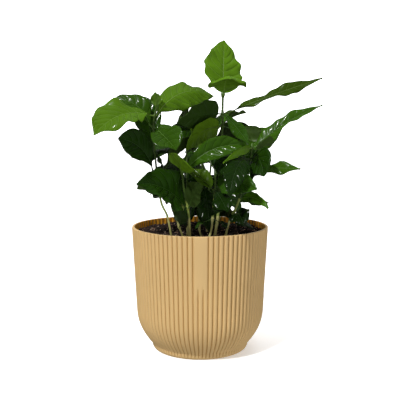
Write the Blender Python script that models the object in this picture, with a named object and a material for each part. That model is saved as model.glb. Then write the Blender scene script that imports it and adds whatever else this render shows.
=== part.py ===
"""Potted coffee plant: a clump of young seedlings in a ribbed plastic cover pot.

Every seedling is one tapering stem that rises whole from the soil to its tip. Its leaves
stand on it in whorls, nearly always opposite pairs. A whorl is one body: a collar round
the stem, as the stipules of coffee make, with a stalk and a blade for each leaf.
Sizes are in millimetres and angles in degrees in the tables. MM turns them into metres.
The frame has +X to the right, +Y to the back and +Z up, with its origin at the centre of
the pot's flat underside.
"""

import math
from typing import NamedTuple

import bpy
from mathutils import Vector

MM = 0.001
GAP = 0.3

# Pot: a ribbed wall that leans out a little, over a round bowl and a short foot ring
RIM_HEIGHT = 126.7
RIM_RADIUS = 70.0
WALL_LEAN = 0.051
WALL_THICKNESS = 3.0
SHOULDER_HEIGHT = 40.0
FOOT_RADIUS = 50.1
FOOT_HEIGHT = 6.2
FOOT_EDGE = 2.0
FOOT_ROUND = 3.3
FOOT_TAPER = 1.0
RIB_COUNT = 86
RIB_DEPTH = 0.9
RIB_PHASE = -91.6
BOWL_DEPTH = 13.7
BOWL_POWER = 2.15
FLOOR_THICKNESS = 4.0
GROOVE_SHARE = 0.22
PANEL_GROOVES = 2
PANEL_BOTTOM = 74.0
WALL_HEIGHTS = (12.0, 22.0, SHOULDER_HEIGHT, PANEL_BOTTOM, RIM_HEIGHT - 1.0)
LIP_EDGE = 0.9
INNER_HEIGHTS = (12.0, 22.0, SHOULDER_HEIGHT, RIM_HEIGHT)

# Soil: fills the pot to just under the rim
SOIL_TOP = 120.5
CLEAR = 0.45

# Stems and whorls
STEM_SIDES = 6
STEM_STEPS = 9
PATH_SEARCH = 400
PATH_REACH = 0.03
BORE_CLEAR = 0.4
COLLAR_WALL = 1.7
COLLAR_HEIGHT = 2.8
STALK_RADIUS = 0.8

# Leaves
LONG_BLADE = 55.0
LONG_BLADE_STEPS = 8
SHORT_BLADE_STEPS = 6
BLADE_CROSSED = (1, 4)
MIDRIB_STEPS = 60
THICKNESS_SHARE = 0.012
LEAST_THICKNESS = 0.8
OVAL_POWER = 0.78
TIP_START = 0.7
WAVES = 2.0


class Leaf(NamedTuple):
    """One leaf: where it points from its stem, its size, and how it bends."""
    heading: float
    rise: float
    length: float
    width: float
    droop: float = 30.0
    roll: float = 0.0
    fold: float = 14.0
    stalk: float = 4.0
    wave: float = 1.0
    fullest: float = 0.45
    drawn: float = 0.42


class Whorl(NamedTuple):
    """The leaves that leave a stem together, at one height."""
    name: str
    height: float
    leaves: tuple


class Seedling(NamedTuple):
    """One stem: the points that it passes, its two radii, and its whorls."""
    name: str
    path: tuple
    foot_radius: float
    tip_radius: float
    whorls: tuple


SEEDLINGS = (
    Seedling(
        "tall",
        ((14.5, -33, SOIL_TOP), (18.5, -26, 149), (19.5, -18, 185), (22.5, -10, 228),
         (22.5, -8, 241), (23, -5, 259.5)),
        1.5, 1.1,
        (
            Whorl("crown", 259, (
                Leaf(86, 62, 63, 43, droop=15, roll=30, fold=1, stalk=3, fullest=0.4, drawn=0),
                Leaf(-81, 17, 42, 41, droop=95, fold=-22, fullest=0.54, drawn=0.2),
            )),
            Whorl("spread", 241, (
                Leaf(14, 19, 99, 16, droop=5, roll=30, fold=8, stalk=12, wave=2.6, fullest=0.42,
                     drawn=0),
                Leaf(-69, -25, 62, 13, droop=10, roll=40, fold=4, wave=1.4, fullest=0.58,
                     drawn=0.35),
                Leaf(-138, -9, 54, 32, droop=20, roll=65, fold=-3, wave=0.6, fullest=0.34,
                     drawn=0),
            )),
            Whorl("low", 228, (
                Leaf(1, -14, 34, 16, droop=5, roll=-80, fold=-1, stalk=7, wave=1.4, fullest=0.66,
                     drawn=0.05),
                Leaf(-146, -32, 49, 26, droop=65, roll=80, fold=-19, stalk=3, wave=1.6,
                     fullest=0.34, drawn=0.45),
            )),
        )),
    Seedling(
        "left",
        ((-28.2, -33, SOIL_TOP), (-32, -34, 141), (-38, -34, 155), (-42, -32, 180.6),
         (-45.5, -28, 228), (-42, -27, 247)),
        1.0, 0.8,
        (
            Whorl("bud", 246, (
                Leaf(-100, 80, 13, 11, droop=10, fold=20, stalk=3, wave=0.6, drawn=0.2),
                Leaf(80, 78, 12, 11, droop=10, fold=20, stalk=3, wave=0.6, drawn=0.2),
            )),
            Whorl("crown", 239, (
                Leaf(-137, -16, 71, 44, droop=60, roll=-25, fold=10, wave=2, fullest=0.54,
                     drawn=0.35),
                Leaf(38, 14, 77, 38, droop=75, roll=45, fold=-19, wave=0.6, fullest=0.52,
                     drawn=0),
            )),
            Whorl("second", 228, (
                Leaf(167, 33, 46, 24, droop=80, roll=-45, fold=10, wave=2.2, fullest=0.5,
                     drawn=0.05),
                Leaf(-62, -23, 49, 33, droop=10, roll=25, fold=27, wave=1.6, fullest=0.62,
                     drawn=0.1),
            )),
            Whorl("third", 204, (
                Leaf(115, 63, 58, 28, droop=5, roll=-30, fold=1, stalk=3, wave=1.4, fullest=0.62,
                     drawn=0.05),
                Leaf(-50, -71, 46, 21, droop=60, roll=-50, fold=-21, stalk=3, wave=1.8,
                     fullest=0.66, drawn=0.5),
            )),
            Whorl("low", 180.6, (
                Leaf(-152, 43, 53, 30, droop=80, roll=-75, fold=6, fullest=0.68, drawn=0.25),
                Leaf(16, 45, 50, 22, droop=15, roll=-40, fold=20, fullest=0.62, drawn=0.3),
            )),
        )),
    Seedling(
        "middle",
        ((-10, -38, SOIL_TOP), (-10.5, -40, 136), (-11.8, -42, 150.3), (-15.5, -46, 171),
         (-17.3, -48, 185.5)),
        1.35, 0.9,
        (
            Whorl("crown", 185, (
                Leaf(-94, 31, 30, 29, droop=10, roll=-35, fold=5, stalk=5, wave=0.6, fullest=0.42,
                     drawn=0.5),
                Leaf(-1, 23, 64, 22, droop=60, roll=80, fold=24, stalk=3, wave=0.6, fullest=0.56,
                     drawn=0.2),
            )),
            Whorl("low", 150.3, (
                Leaf(-137, 23, 65, 43, droop=55, roll=-60, stalk=3, wave=2.2, fullest=0.34,
                     drawn=0.2),
                Leaf(-65, 37, 37, 24, droop=40, roll=-75, fold=-11, stalk=3, wave=0.8,
                     fullest=0.44, drawn=0.05),
            )),
        )),
    Seedling(
        "right",
        ((24.8, -36, SOIL_TOP), (28.2, -36, 134.7), (37.2, -32, 154), (45.3, -24, 181),
         (49.9, -20, 196.5), (51.5, -18, 208)),
        1.2, 0.8,
        (
            Whorl("crown", 207, (
                Leaf(4, 31, 77, 18, droop=25, roll=30, fold=27, wave=0.8, fullest=0.34,
                     drawn=0.2),
                Leaf(-125, -14, 50, 10, roll=80, fold=-26, stalk=3, wave=0.6, fullest=0.34,
                     drawn=0.05),
            )),
            Whorl("second", 196.5, (
                Leaf(34, 25, 33, 11, droop=95, roll=-75, fold=-7, wave=1.6, fullest=0.66,
                     drawn=0),
                Leaf(-76, -23, 44, 28, droop=95, roll=60, fold=3, stalk=3, wave=0.6, fullest=0.62,
                     drawn=0.05),
                Leaf(-112, -29, 69, 23, droop=80, roll=-25, fold=-2, stalk=3, wave=0.6,
                     fullest=0.54, drawn=0),
            )),
            Whorl("low", 186, (
                Leaf(-34, 3, 53, 14, droop=10, roll=50, fold=4, stalk=3, wave=1.6, fullest=0.58,
                     drawn=0.4),
                Leaf(142, 76, 41, 25, droop=40, roll=45, fold=-15, stalk=3, wave=1.4,
                     fullest=0.62, drawn=0.15),
            )),
            Whorl("bottom", 158, (
                Leaf(-50, -11, 37, 10, droop=60, roll=75, fold=6, stalk=3, wave=2.2, fullest=0.4,
                     drawn=0.25),
                Leaf(-145, -26, 33, 19, droop=50, roll=-5, fold=-2, stalk=3, wave=1.4,
                     fullest=0.66, drawn=0.5),
            )),
            Whorl("seed_leaves", 144, (
                Leaf(-76, -17, 27, 22, droop=60, roll=30, fold=10, stalk=6, wave=2.2,
                     fullest=0.54, drawn=0.05),
                Leaf(104, -18, 42, 26, droop=90, roll=45, fold=-22, stalk=6, wave=2.2,
                     fullest=0.62, drawn=0.15),
            )),
        )),
    Seedling(
        "inner",
        ((-12.5, -30, SOIL_TOP), (-13.2, -15, 155), (-13.4, 0, 189), (-14, 5, 209)),
        1.0, 0.8,
        (
            Whorl("crown", 208, (
                Leaf(-150, -9, 58, 25, droop=15, roll=20, fold=-26, stalk=3, wave=1.4,
                     fullest=0.62, drawn=0.05),
                Leaf(-18, -59, 40, 26, droop=35, roll=-15, fold=-6, stalk=3, wave=0.8,
                     fullest=0.66, drawn=0.45),
            )),
        )),
    Seedling(
        "centre",
        ((9.1, -36, SOIL_TOP), (11.4, -34, 130), (13.8, -29, 156), (15.2, -26, 183),
         (10.5, -20, 193), (7.9, -14, 205)),
        1.1, 0.8,
        (
            Whorl("crown", 204.4, (
                Leaf(-170, 51, 44, 24, droop=80, roll=-10, fold=-25, stalk=3, wave=0.6,
                     fullest=0.5, drawn=0.4),
                Leaf(-65, -29, 49, 21, droop=50, roll=40, fold=-18, stalk=3, wave=1.8,
                     fullest=0.52, drawn=0),
            )),
            Whorl("second", 182.5, (
                Leaf(-45, -13, 49, 32, droop=5, roll=75, fold=17, wave=1.6, fullest=0.34,
                     drawn=0.1),
            )),
            Whorl("low", 166, (
                Leaf(150, 30, 34, 20, roll=-30, fold=28, stalk=3, wave=0.8, fullest=0.38,
                     drawn=0.05),
                Leaf(-71, -28, 34, 20, droop=15, roll=25, fold=-4, stalk=3, wave=1.2,
                     fullest=0.52, drawn=0.5),
            )),
            Whorl("seed_leaves", 138, (
                Leaf(-160, -35, 12, 10, droop=40, stalk=6, fullest=0.5, drawn=0),
                Leaf(-35, -35, 11, 10, droop=40, stalk=6, fullest=0.5, drawn=0),
            )),
        )),
    Seedling(
        "short",
        ((1.3, -32, SOIL_TOP), (-1.5, -26, 136), (3.9, -5, 169)),
        0.9, 0.8,
        (
            Whorl("crown", 168.5, (
                Leaf(-122, -53, 49, 21, droop=60, roll=20, stalk=3, wave=0.6, fullest=0.6,
                     drawn=0.1),
                Leaf(-77, -64, 47, 23, fold=6, stalk=3, wave=1.6, fullest=0.52, drawn=0.15),
            )),
        )),
    Seedling(
        "outer",
        ((-16.4, -36, SOIL_TOP), (-21.6, -38, 135), (-27.7, -30, 157)),
        0.9, 0.8,
        (
            Whorl("crown", 156.5, (
                Leaf(111, 3, 50, 22, droop=5, roll=25, fold=-26, stalk=3, wave=0.8, fullest=0.56,
                     drawn=0.05),
                Leaf(8, 77, 34, 20, droop=95, fold=13, stalk=3, wave=1.8, fullest=0.5,
                     drawn=0.05),
            )),
            Whorl("seed_leaves", 131, (
                Leaf(-71, 70, 17, 18, droop=15, roll=-55, fold=1, stalk=5, fullest=0.38,
                     drawn=0.3),
            )),
        )),
    Seedling(
        "rear_tall",
        ((7, -4, SOIL_TOP), (9, 4, 160), (12, 10, 200), (13, 14, 222)),
        1.1, 0.8,
        (
            Whorl("crown", 221, (
                Leaf(-149, -6, 48, 26, droop=60, roll=-45, fold=-14, wave=1.8, fullest=0.66,
                     drawn=0.35),
                Leaf(37, 24, 46, 28, droop=40, roll=-5, fold=30, wave=1.2, fullest=0.38,
                     drawn=0.15),
            )),
            Whorl("second", 203, (
                Leaf(6, 24, 45, 28, droop=85, roll=-50, fold=2, wave=0.8, fullest=0.5,
                     drawn=0.05),
                Leaf(-77, -18, 38, 28, droop=45, roll=60, fold=28, wave=2, fullest=0.34,
                     drawn=0.4),
            )),
            Whorl("low", 174.7, (
                Leaf(-163, -32, 42, 25, droop=95, roll=-50, fold=-6, fullest=0.36, drawn=0.5),
                Leaf(-1, 26, 57, 26, droop=40, roll=50, fold=17, wave=1.6, fullest=0.46,
                     drawn=0.2),
            )),
            Whorl("bottom", 152, (
                Leaf(-146, -37, 43, 24, droop=90, roll=-35, fold=-19, stalk=3, wave=2,
                     fullest=0.56, drawn=0),
                Leaf(12, -32, 40, 25, droop=95, roll=30, fold=11, stalk=3, wave=1.2, fullest=0.54,
                     drawn=0.15),
            )),
        )),
    Seedling(
        "rear_middle",
        ((0, 12, SOIL_TOP), (-1, 26, 150), (-2, 36, 185), (-3, 40, 206)),
        1.1, 0.8,
        (
            Whorl("crown", 205, (
                Leaf(150, 25, 56, 27, droop=15, roll=-35, fold=-10, wave=1.6, fullest=0.34,
                     drawn=0),
                Leaf(-101, -56, 52, 21, droop=60, roll=-45, fold=-26, wave=1.6, fullest=0.44,
                     drawn=0.1),
            )),
            Whorl("second", 187, (
                Leaf(-131, -4, 56, 21, droop=20, roll=-45, fold=-26, wave=1.2, fullest=0.34,
                     drawn=0.5),
                Leaf(55, -25, 48, 24, droop=80, roll=30, fold=25, wave=0.8, fullest=0.6,
                     drawn=0.15),
            )),
            Whorl("low", 163, (
                Leaf(-35, 3, 45, 26, droop=25, roll=45, fold=26, wave=1.6, fullest=0.36,
                     drawn=0.05),
                Leaf(98, 27, 45, 28, droop=45, roll=30, fold=26, wave=0.8, fullest=0.34,
                     drawn=0.4),
            )),
            Whorl("bottom", 146, (
                Leaf(58, -32, 44, 28, droop=70, roll=-45, fold=2, stalk=3, wave=1.6, fullest=0.38,
                     drawn=0),
                Leaf(-118, 22, 33, 25, droop=5, roll=20, fold=20, stalk=3, wave=0.6, fullest=0.62,
                     drawn=0),
            )),
        )),
    Seedling(
        "rear_right",
        ((16, 4, SOIL_TOP), (26, 16, 150), (36, 24, 178), (40, 27, 200)),
        1.1, 0.8,
        (
            Whorl("crown", 199, (
                Leaf(23, 29, 58, 28, droop=5, roll=50, fold=-2, wave=0.6, fullest=0.34,
                     drawn=0.25),
                Leaf(-130, -47, 34, 20, droop=65, roll=-45, fold=-23, wave=1.2, fullest=0.48,
                     drawn=0),
            )),
            Whorl("second", 183, (
                Leaf(-60, -5, 45, 28, roll=50, fold=-13, wave=2.2, fullest=0.4, drawn=0.45),
                Leaf(128, -54, 44, 28, droop=5, roll=35, fold=30, wave=0.6, fullest=0.38,
                     drawn=0.35),
            )),
            Whorl("low", 162, (
                Leaf(35, -19, 53, 22, droop=5, roll=45, fold=-17, wave=1.2, fullest=0.34,
                     drawn=0),
            )),
            Whorl("bottom", 146, (
                Leaf(133, 21, 58, 25, droop=40, roll=-35, fold=-14, stalk=3, wave=1.6,
                     fullest=0.38, drawn=0),
                Leaf(-41, -29, 41, 26, droop=5, roll=-15, fold=-19, stalk=3, wave=0.6,
                     fullest=0.64, drawn=0.2),
            )),
        )),
    Seedling(
        "rear_left",
        ((-12, 4, SOIL_TOP), (-20, 18, 150), (-26, 28, 178), (-28, 33, 198)),
        1.1, 0.8,
        (
            Whorl("crown", 197, (
                Leaf(129, 10, 43, 28, droop=20, roll=-45, fold=-9, wave=2.2, fullest=0.66,
                     drawn=0.1),
                Leaf(-12, 76, 58, 25, roll=-10, fold=1, wave=2, fullest=0.46, drawn=0.15),
            )),
            Whorl("second", 182, (
                Leaf(-121, -21, 44, 28, droop=90, roll=-5, fold=-19, wave=1.8, fullest=0.66,
                     drawn=0.3),
                Leaf(53, 21, 58, 23, droop=35, roll=-35, fold=24, wave=2.2, fullest=0.62,
                     drawn=0.5),
            )),
            Whorl("low", 161, (
                Leaf(-9, -30, 44, 23, droop=75, roll=-45, fold=-27, wave=1.8, fullest=0.66,
                     drawn=0),
                Leaf(150, -2, 48, 26, droop=5, roll=45, fold=25, wave=1.4, fullest=0.66,
                     drawn=0.05),
            )),
            Whorl("bottom", 146, (
                Leaf(61, -13, 57, 23, droop=45, roll=-15, fold=19, stalk=3, wave=1.4,
                     fullest=0.58, drawn=0.3),
                Leaf(-105, -30, 25, 20, droop=80, roll=-30, fold=26, stalk=3, wave=0.8,
                     fullest=0.36, drawn=0.25),
            )),
        )),
)


def direction(heading, pitch):
    """Unit vector for a compass heading, 0 along +X, and a pitch above level."""
    flat = math.cos(math.radians(pitch))
    return Vector((flat * math.cos(math.radians(heading)),
                   flat * math.sin(math.radians(heading)),
                   math.sin(math.radians(pitch))))


def blade_half_width(leaf, share):
    """Half of the blade's width at a share of its length: oval, with a drawn-out tip."""
    if share >= 1.0:
        return 0.0
    power = math.log(0.5) / math.log(leaf.fullest)
    body = math.sin(math.pi * share ** power) ** OVAL_POWER
    pinch = min(1.0, max(0.0, (share - TIP_START) / (1.0 - TIP_START)))
    return 0.5 * leaf.width * body * (1.0 - leaf.drawn * pinch * pinch * (3.0 - 2.0 * pinch))


def leaf_frames(leaf, root, shares):
    """Place, side and normal at each share of a blade's midrib, from its root point."""
    start_pitch = leaf.rise + 0.5 * leaf.droop
    stalk_pitch = max(-60.0, min(62.0, start_pitch))
    point = root + direction(leaf.heading, stalk_pitch) * leaf.stalk
    wanted = list(shares)
    frames = []
    step = leaf.length / MIDRIB_STEPS
    for index in range(MIDRIB_STEPS + 1):
        share = index / MIDRIB_STEPS
        while wanted and wanted[0] <= share + 1e-9:
            frames.append(frame_at(leaf, wanted.pop(0), point))
        middle = share + 0.5 / MIDRIB_STEPS
        point = point + direction(leaf.heading, leaf.rise + leaf.droop * (0.5 - middle)) * step
    return frames


def frame_at(leaf, share, point):
    """The point of the midrib with the blade's side and normal there."""
    along = direction(leaf.heading, leaf.rise + leaf.droop * (0.5 - share))
    side = direction(leaf.heading + 90.0, 0.0)
    normal = along.cross(side)
    roll = math.radians(leaf.roll)
    turned = side * math.cos(roll) + normal * math.sin(roll)
    return point.copy(), turned, along.cross(turned)


def margin_lift(leaf, share, left):
    """Height of a blade's margin over its midrib's plane: the fold, and the wavy edge."""
    half = blade_half_width(leaf, share)
    phase = 0.0 if left else 0.45
    swell = math.sin(math.pi * share) ** 0.5 if 0.0 < share < 1.0 else 0.0
    wave = leaf.wave * swell * math.sin(2.0 * math.pi * (WAVES * share + phase))
    return half * math.sin(math.radians(leaf.fold)) + wave


def leaf_rings(leaf, root):
    """Rings of six points, from the stalk's sunk root to the blade's tip."""
    steps = LONG_BLADE_STEPS if leaf.length > LONG_BLADE else SHORT_BLADE_STEPS
    shares = [index / steps for index in range(steps + 1)]
    frames = leaf_frames(leaf, root, shares)
    thickness = max(LEAST_THICKNESS, THICKNESS_SHARE * leaf.length)
    start = frames[0][0]
    along = (start - root).normalized()
    side = frames[0][1]
    side = (side - along * side.dot(along)).normalized()
    normal = along.cross(side)
    rings = [six_points(root, side, normal, STALK_RADIUS, STALK_RADIUS),
             six_points(start, side, normal, STALK_RADIUS, STALK_RADIUS)]
    for share, (point, side, normal) in zip(shares[1:], frames[1:]):
        half = max(0.5, blade_half_width(leaf, share))
        flat = math.cos(math.radians(leaf.fold))
        left = point + side * half * flat + normal * margin_lift(leaf, share, True)
        right = point - side * half * flat + normal * margin_lift(leaf, share, False)
        low = normal * (-0.5 * thickness)
        rings.append([left - low, point - low, right - low,
                      right + low, point + low, left + low])
    return rings


def six_points(centre, side, normal, half_width, half_height):
    """A ring round a stalk, in the order of a blade's ring."""
    flat = 0.55 * half_height
    return [centre + side * half_width + normal * flat,
            centre + normal * half_height,
            centre - side * half_width + normal * flat,
            centre - side * half_width - normal * flat,
            centre - normal * half_height,
            centre + side * half_width - normal * flat]


def loft(rings, crossed=()):
    """Points and faces of a closed body through rings of the same count.

    The quads named in crossed are split on their other diagonal, so that a blade's upper
    and lower faces fold along the same lines and never touch.
    """
    count = len(rings[0])
    points = [point for ring in rings for point in ring]
    faces = [tuple(range(count))[::-1]]
    for low in range(0, (len(rings) - 1) * count, count):
        for index in range(count):
            first, second = low + index, low + (index + 1) % count
            third, fourth = second + count, first + count
            if not crossed:
                faces.append((first, second, third, fourth))
            elif index in crossed:
                faces.extend(((first, second, fourth), (second, third, fourth)))
            else:
                faces.extend(((first, second, third), (first, third, fourth)))
    last = (len(rings) - 1) * count
    faces.append(tuple(last + index for index in range(count)))
    return points, faces


def make_object(name, points, faces, material, smooth=False):
    """A mesh object in metres, with its faces turned outwards."""
    mesh = bpy.data.meshes.new(name)
    mesh.from_pydata([tuple(point * MM) for point in points], [], faces)
    mesh.validate()
    made = bpy.data.objects.new(name, mesh)
    bpy.context.scene.collection.objects.link(made)
    if mesh_volume(mesh) < 0.0:
        mesh.flip_normals()
    mesh.materials.append(material)
    if smooth:
        mesh.shade_smooth()
        mesh.set_sharp_from_angle(angle=math.radians(35.0))
    return made


def mesh_volume(mesh):
    """Signed volume of a closed mesh: negative where its faces point in."""
    total = 0.0
    for face in mesh.polygons:
        corners = [mesh.vertices[index].co for index in face.vertices]
        for index in range(1, len(corners) - 1):
            total += corners[0].dot(corners[index].cross(corners[index + 1]))
    return total


def make_material(name, colour, roughness):
    """A plain Principled material."""
    material = bpy.data.materials.new(name)
    material.use_nodes = True
    shader = material.node_tree.nodes["Principled BSDF"]
    shader.inputs["Base Color"].default_value = (*colour, 1.0)
    shader.inputs["Roughness"].default_value = roughness
    shader.inputs["Metallic"].default_value = 0.0
    material.diffuse_color = (*colour, 1.0)
    return material


def wall_radius(height):
    """Outer radius of the pot's wall, over its bowl, at a height."""
    radius = RIM_RADIUS - WALL_LEAN * (RIM_HEIGHT - height)
    if height < SHOULDER_HEIGHT:
        share = (SHOULDER_HEIGHT - height) / (SHOULDER_HEIGHT - FOOT_HEIGHT)
        radius -= BOWL_DEPTH * share ** BOWL_POWER
    return radius


def rib_ring(radius, height, depth):
    """A ring of the ribbed wall: three points a rib, the first in its groove."""
    points = []
    panel_depth = depth if height < PANEL_BOTTOM else 0.0
    for rib in range(RIB_COUNT):
        groove = panel_depth if rib < PANEL_GROOVES else depth
        for corner, inset in ((0.0, groove), (GROOVE_SHARE, 0.0), (1.0 - GROOVE_SHARE, 0.0)):
            angle = math.radians(RIB_PHASE + 360.0 * (rib + corner) / RIB_COUNT)
            reach = radius - inset
            points.append(Vector((reach * math.cos(angle), reach * math.sin(angle), height)))
    return points


def inner_ring(radius, height):
    """A ring of the plain inside, with one point to every second rib."""
    points = []
    for index in range(RIB_COUNT // 2):
        angle = math.radians(RIB_PHASE + 720.0 * index / RIB_COUNT)
        points.append(Vector((radius * math.cos(angle), radius * math.sin(angle), height)))
    return points


def cavity_sizes():
    """Radius and height of each ring of the pot's inside, from its floor to its rim."""
    sizes = [(wall_radius(FLOOR_THICKNESS) - 2.0 * WALL_THICKNESS, FLOOR_THICKNESS)]
    for height in INNER_HEIGHTS:
        sizes.append((wall_radius(height) - WALL_THICKNESS, height))
    return sizes


def build_pot(material):
    """The cover pot: foot, bowl, ribbed wall and lip, over a plain hollow inside."""
    rings = [rib_ring(FOOT_RADIUS - FOOT_ROUND, 0.0, 0.0),
             rib_ring(FOOT_RADIUS - FOOT_TAPER, FOOT_EDGE, 0.0),
             rib_ring(FOOT_RADIUS, FOOT_HEIGHT, 0.0)]
    for height in WALL_HEIGHTS:
        rings.append(rib_ring(wall_radius(height), height, RIB_DEPTH))
    rings.append(rib_ring(RIM_RADIUS - LIP_EDGE, RIM_HEIGHT, 0.0))
    points, faces = loft(rings)
    faces.pop()
    top = len(points) - len(rings[-1])
    lining = len(points)
    count = RIB_COUNT // 2
    sizes = cavity_sizes()[::-1]
    for radius, height in sizes:
        points.extend(inner_ring(radius, height))
    for index in range(count):
        after = (index + 1) % count
        edge = [top + (6 * index + step) % (3 * RIB_COUNT) for step in range(7)]
        faces.append(tuple(edge + [lining + after, lining + index]))
        for ring in range(len(sizes) - 1):
            low = lining + ring * count
            faces.append((low + index, low + after, low + count + after, low + count + index))
    faces.append(tuple(lining + (len(sizes) - 1) * count + index for index in range(count)))
    return make_object("pot", points, faces, material, smooth=True)


def build_soil(material):
    """The soil that fills the pot, clear of its wall and floor by a hair."""
    rings = []
    for radius, height in cavity_sizes()[:-1]:
        rings.append(inner_ring(radius - CLEAR, max(height, FLOOR_THICKNESS + GAP)))
    rings.append(inner_ring(wall_radius(SOIL_TOP) - WALL_THICKNESS - CLEAR, SOIL_TOP))
    points, faces = loft(rings)
    return make_object("soil", points, faces, material)


def smooth_path(points, share):
    """A point on the smooth curve through the given points."""
    places = [Vector(point) for point in points]
    span = share * (len(places) - 1)
    index = min(int(span), len(places) - 2)
    local = span - index
    before = places[max(0, index - 1)]
    first, second = places[index], places[index + 1]
    after = places[min(len(places) - 1, index + 2)]
    return 0.5 * ((2.0 * first) + (second - before) * local
                  + (2.0 * before - 5.0 * first + 4.0 * second - after) * local ** 2
                  + (3.0 * first - before - 3.0 * second + after) * local ** 3)


def stem_point(seedling, share):
    """A point of the stem's centre line as built, straight between its rings."""
    span = min(share * STEM_STEPS, STEM_STEPS - 1e-6)
    ring = int(span)
    low = smooth_path(seedling.path, ring / STEM_STEPS)
    high = smooth_path(seedling.path, (ring + 1) / STEM_STEPS)
    return low.lerp(high, span - ring)


def stem_radius(seedling, height):
    """Radius of a stem at a height: it tapers evenly from its foot to its tip."""
    foot = seedling.path[0][2]
    tip = seedling.path[-1][2]
    share = min(1.0, max(0.0, (height - foot) / (tip - foot)))
    return seedling.foot_radius + (seedling.tip_radius - seedling.foot_radius) * share


def round_ring(centre, along, radius, sides):
    """A ring of points round a centre, square to a direction."""
    across = along.cross(Vector((0.0, 1.0, 0.0))).normalized()
    other = along.cross(across)
    ring = []
    for index in range(sides):
        angle = 2.0 * math.pi * index / sides
        ring.append(centre + across * (radius * math.cos(angle))
                    + other * (radius * math.sin(angle)))
    return ring


def build_stem(seedling, material):
    """One stem, cut flat just over the soil."""
    steps = STEM_STEPS
    places = [smooth_path(seedling.path, index / steps) for index in range(steps + 1)]
    rings = []
    for index, place in enumerate(places):
        ahead = places[min(index + 1, steps)]
        behind = places[max(index - 1, 0)]
        along = (ahead - behind).normalized()
        if index == 0:
            along = Vector((0.0, 0.0, 1.0))
            place = place + along * GAP
        rings.append(round_ring(place, along, stem_radius(seedling, place.z), STEM_SIDES))
    points, faces = loft(rings)
    return make_object("stem_" + seedling.name, points, faces, material, smooth=True)


def place_on_stem(seedling, height):
    """The stem's centre at a height, and the way that the stem runs there."""
    def off(share):
        return abs(stem_point(seedling, share).z - height)
    share = min((step / PATH_SEARCH for step in range(PATH_SEARCH + 1)), key=off)
    low = stem_point(seedling, max(0.0, share - PATH_REACH))
    high = stem_point(seedling, min(1.0, share + PATH_REACH))
    return stem_point(seedling, share), (high - low).normalized()


def collar_parts(seedling, whorl):
    """Points and faces of the collar round the stem, its centre and its bore's radius."""
    centre, along = place_on_stem(seedling, whorl.height)
    bore = stem_radius(seedling, centre.z) / math.cos(math.pi / STEM_SIDES) + BORE_CLEAR
    half = along * (0.5 * COLLAR_HEIGHT)
    rings = [round_ring(centre - half, along, bore, STEM_SIDES),
             round_ring(centre - half, along, bore + COLLAR_WALL, STEM_SIDES),
             round_ring(centre + half, along, bore + COLLAR_WALL, STEM_SIDES),
             round_ring(centre + half, along, bore, STEM_SIDES)]
    points = [point for ring in rings for point in ring]
    faces = []
    for ring in range(4):
        for index in range(STEM_SIDES):
            after = (index + 1) % STEM_SIDES
            following = (ring + 1) % 4
            faces.append((ring * STEM_SIDES + index, ring * STEM_SIDES + after,
                          following * STEM_SIDES + after, following * STEM_SIDES + index))
    return points, faces, centre, bore


def leaf_root(centre, leaf, bore):
    """Where a stalk starts, inside the collar's wall and clear of the bore."""
    pitch = max(-60.0, min(62.0, leaf.rise + 0.5 * leaf.droop))
    reach = bore + 0.25 + STALK_RADIUS * abs(math.sin(math.radians(pitch)))
    return centre + direction(leaf.heading, 0.0) * reach


def build_whorl(seedling, whorl, material):
    """One whorl of leaves, fused on its collar into a single body."""
    name = "leaves_" + seedling.name + "_" + whorl.name
    points, faces, centre, bore = collar_parts(seedling, whorl)
    body = make_object(name, points, faces, material)
    group = bpy.data.collections.new(name + "_blades")
    bpy.context.scene.collection.children.link(group)
    for index, leaf in enumerate(whorl.leaves):
        root = leaf_root(centre, leaf, bore)
        points, faces = loft(leaf_rings(leaf, root), BLADE_CROSSED)
        blade = make_object(name + "_blade_" + str(index), points, faces, material)
        bpy.context.scene.collection.objects.unlink(blade)
        group.objects.link(blade)
    union = body.modifiers.new("fuse", "BOOLEAN")
    union.operation = "UNION"
    union.operand_type = "COLLECTION"
    union.collection = group
    union.solver = "EXACT"
    apply_modifiers(body)
    for blade in list(group.objects):
        bpy.data.objects.remove(blade)
    bpy.data.collections.remove(group)
    return body


def apply_modifiers(made):
    """Put a body's evaluated mesh in place of its own."""
    graph = bpy.context.evaluated_depsgraph_get()
    graph.update()
    mesh = bpy.data.meshes.new_from_object(made.evaluated_get(graph))
    made.modifiers.clear()
    made.data = mesh


def main():
    """Build the pot, the soil, the stems and the whorls of leaves."""
    for old in list(bpy.data.objects):
        bpy.data.objects.remove(old)
    pot_material = make_material("pot_plastic", (0.60, 0.41, 0.19), 0.55)
    soil_material = make_material("potting_soil", (0.03, 0.02, 0.018), 0.95)
    stem_material = make_material("green_stem", (0.25, 0.28, 0.06), 0.6)
    leaf_material = make_material("coffee_leaf", (0.05, 0.16, 0.02), 0.35)
    build_pot(pot_material)
    build_soil(soil_material)
    for seedling in SEEDLINGS:
        build_stem(seedling, stem_material)
        for whorl in seedling.whorls:
            build_whorl(seedling, whorl, leaf_material)


main()
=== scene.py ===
"""Dresses the potted coffee plant: a clump of glossy seedlings in a ribbed cover pot.

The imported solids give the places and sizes. Every leaf here grows by the same rule as the
source's, from the same table, but as a thin quilted blade with a wavy margin, a raised midrib
and a drawn-out tip. Tables are in millimetres and degrees; MM turns them into metres.
The frame has +X to the right, +Y to the back and +Z up, from the pot's flat underside.
"""

import logging
import math
import random
from dataclasses import dataclass, field
from enum import Enum

import bpy
import numpy as np
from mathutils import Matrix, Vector, noise


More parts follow.
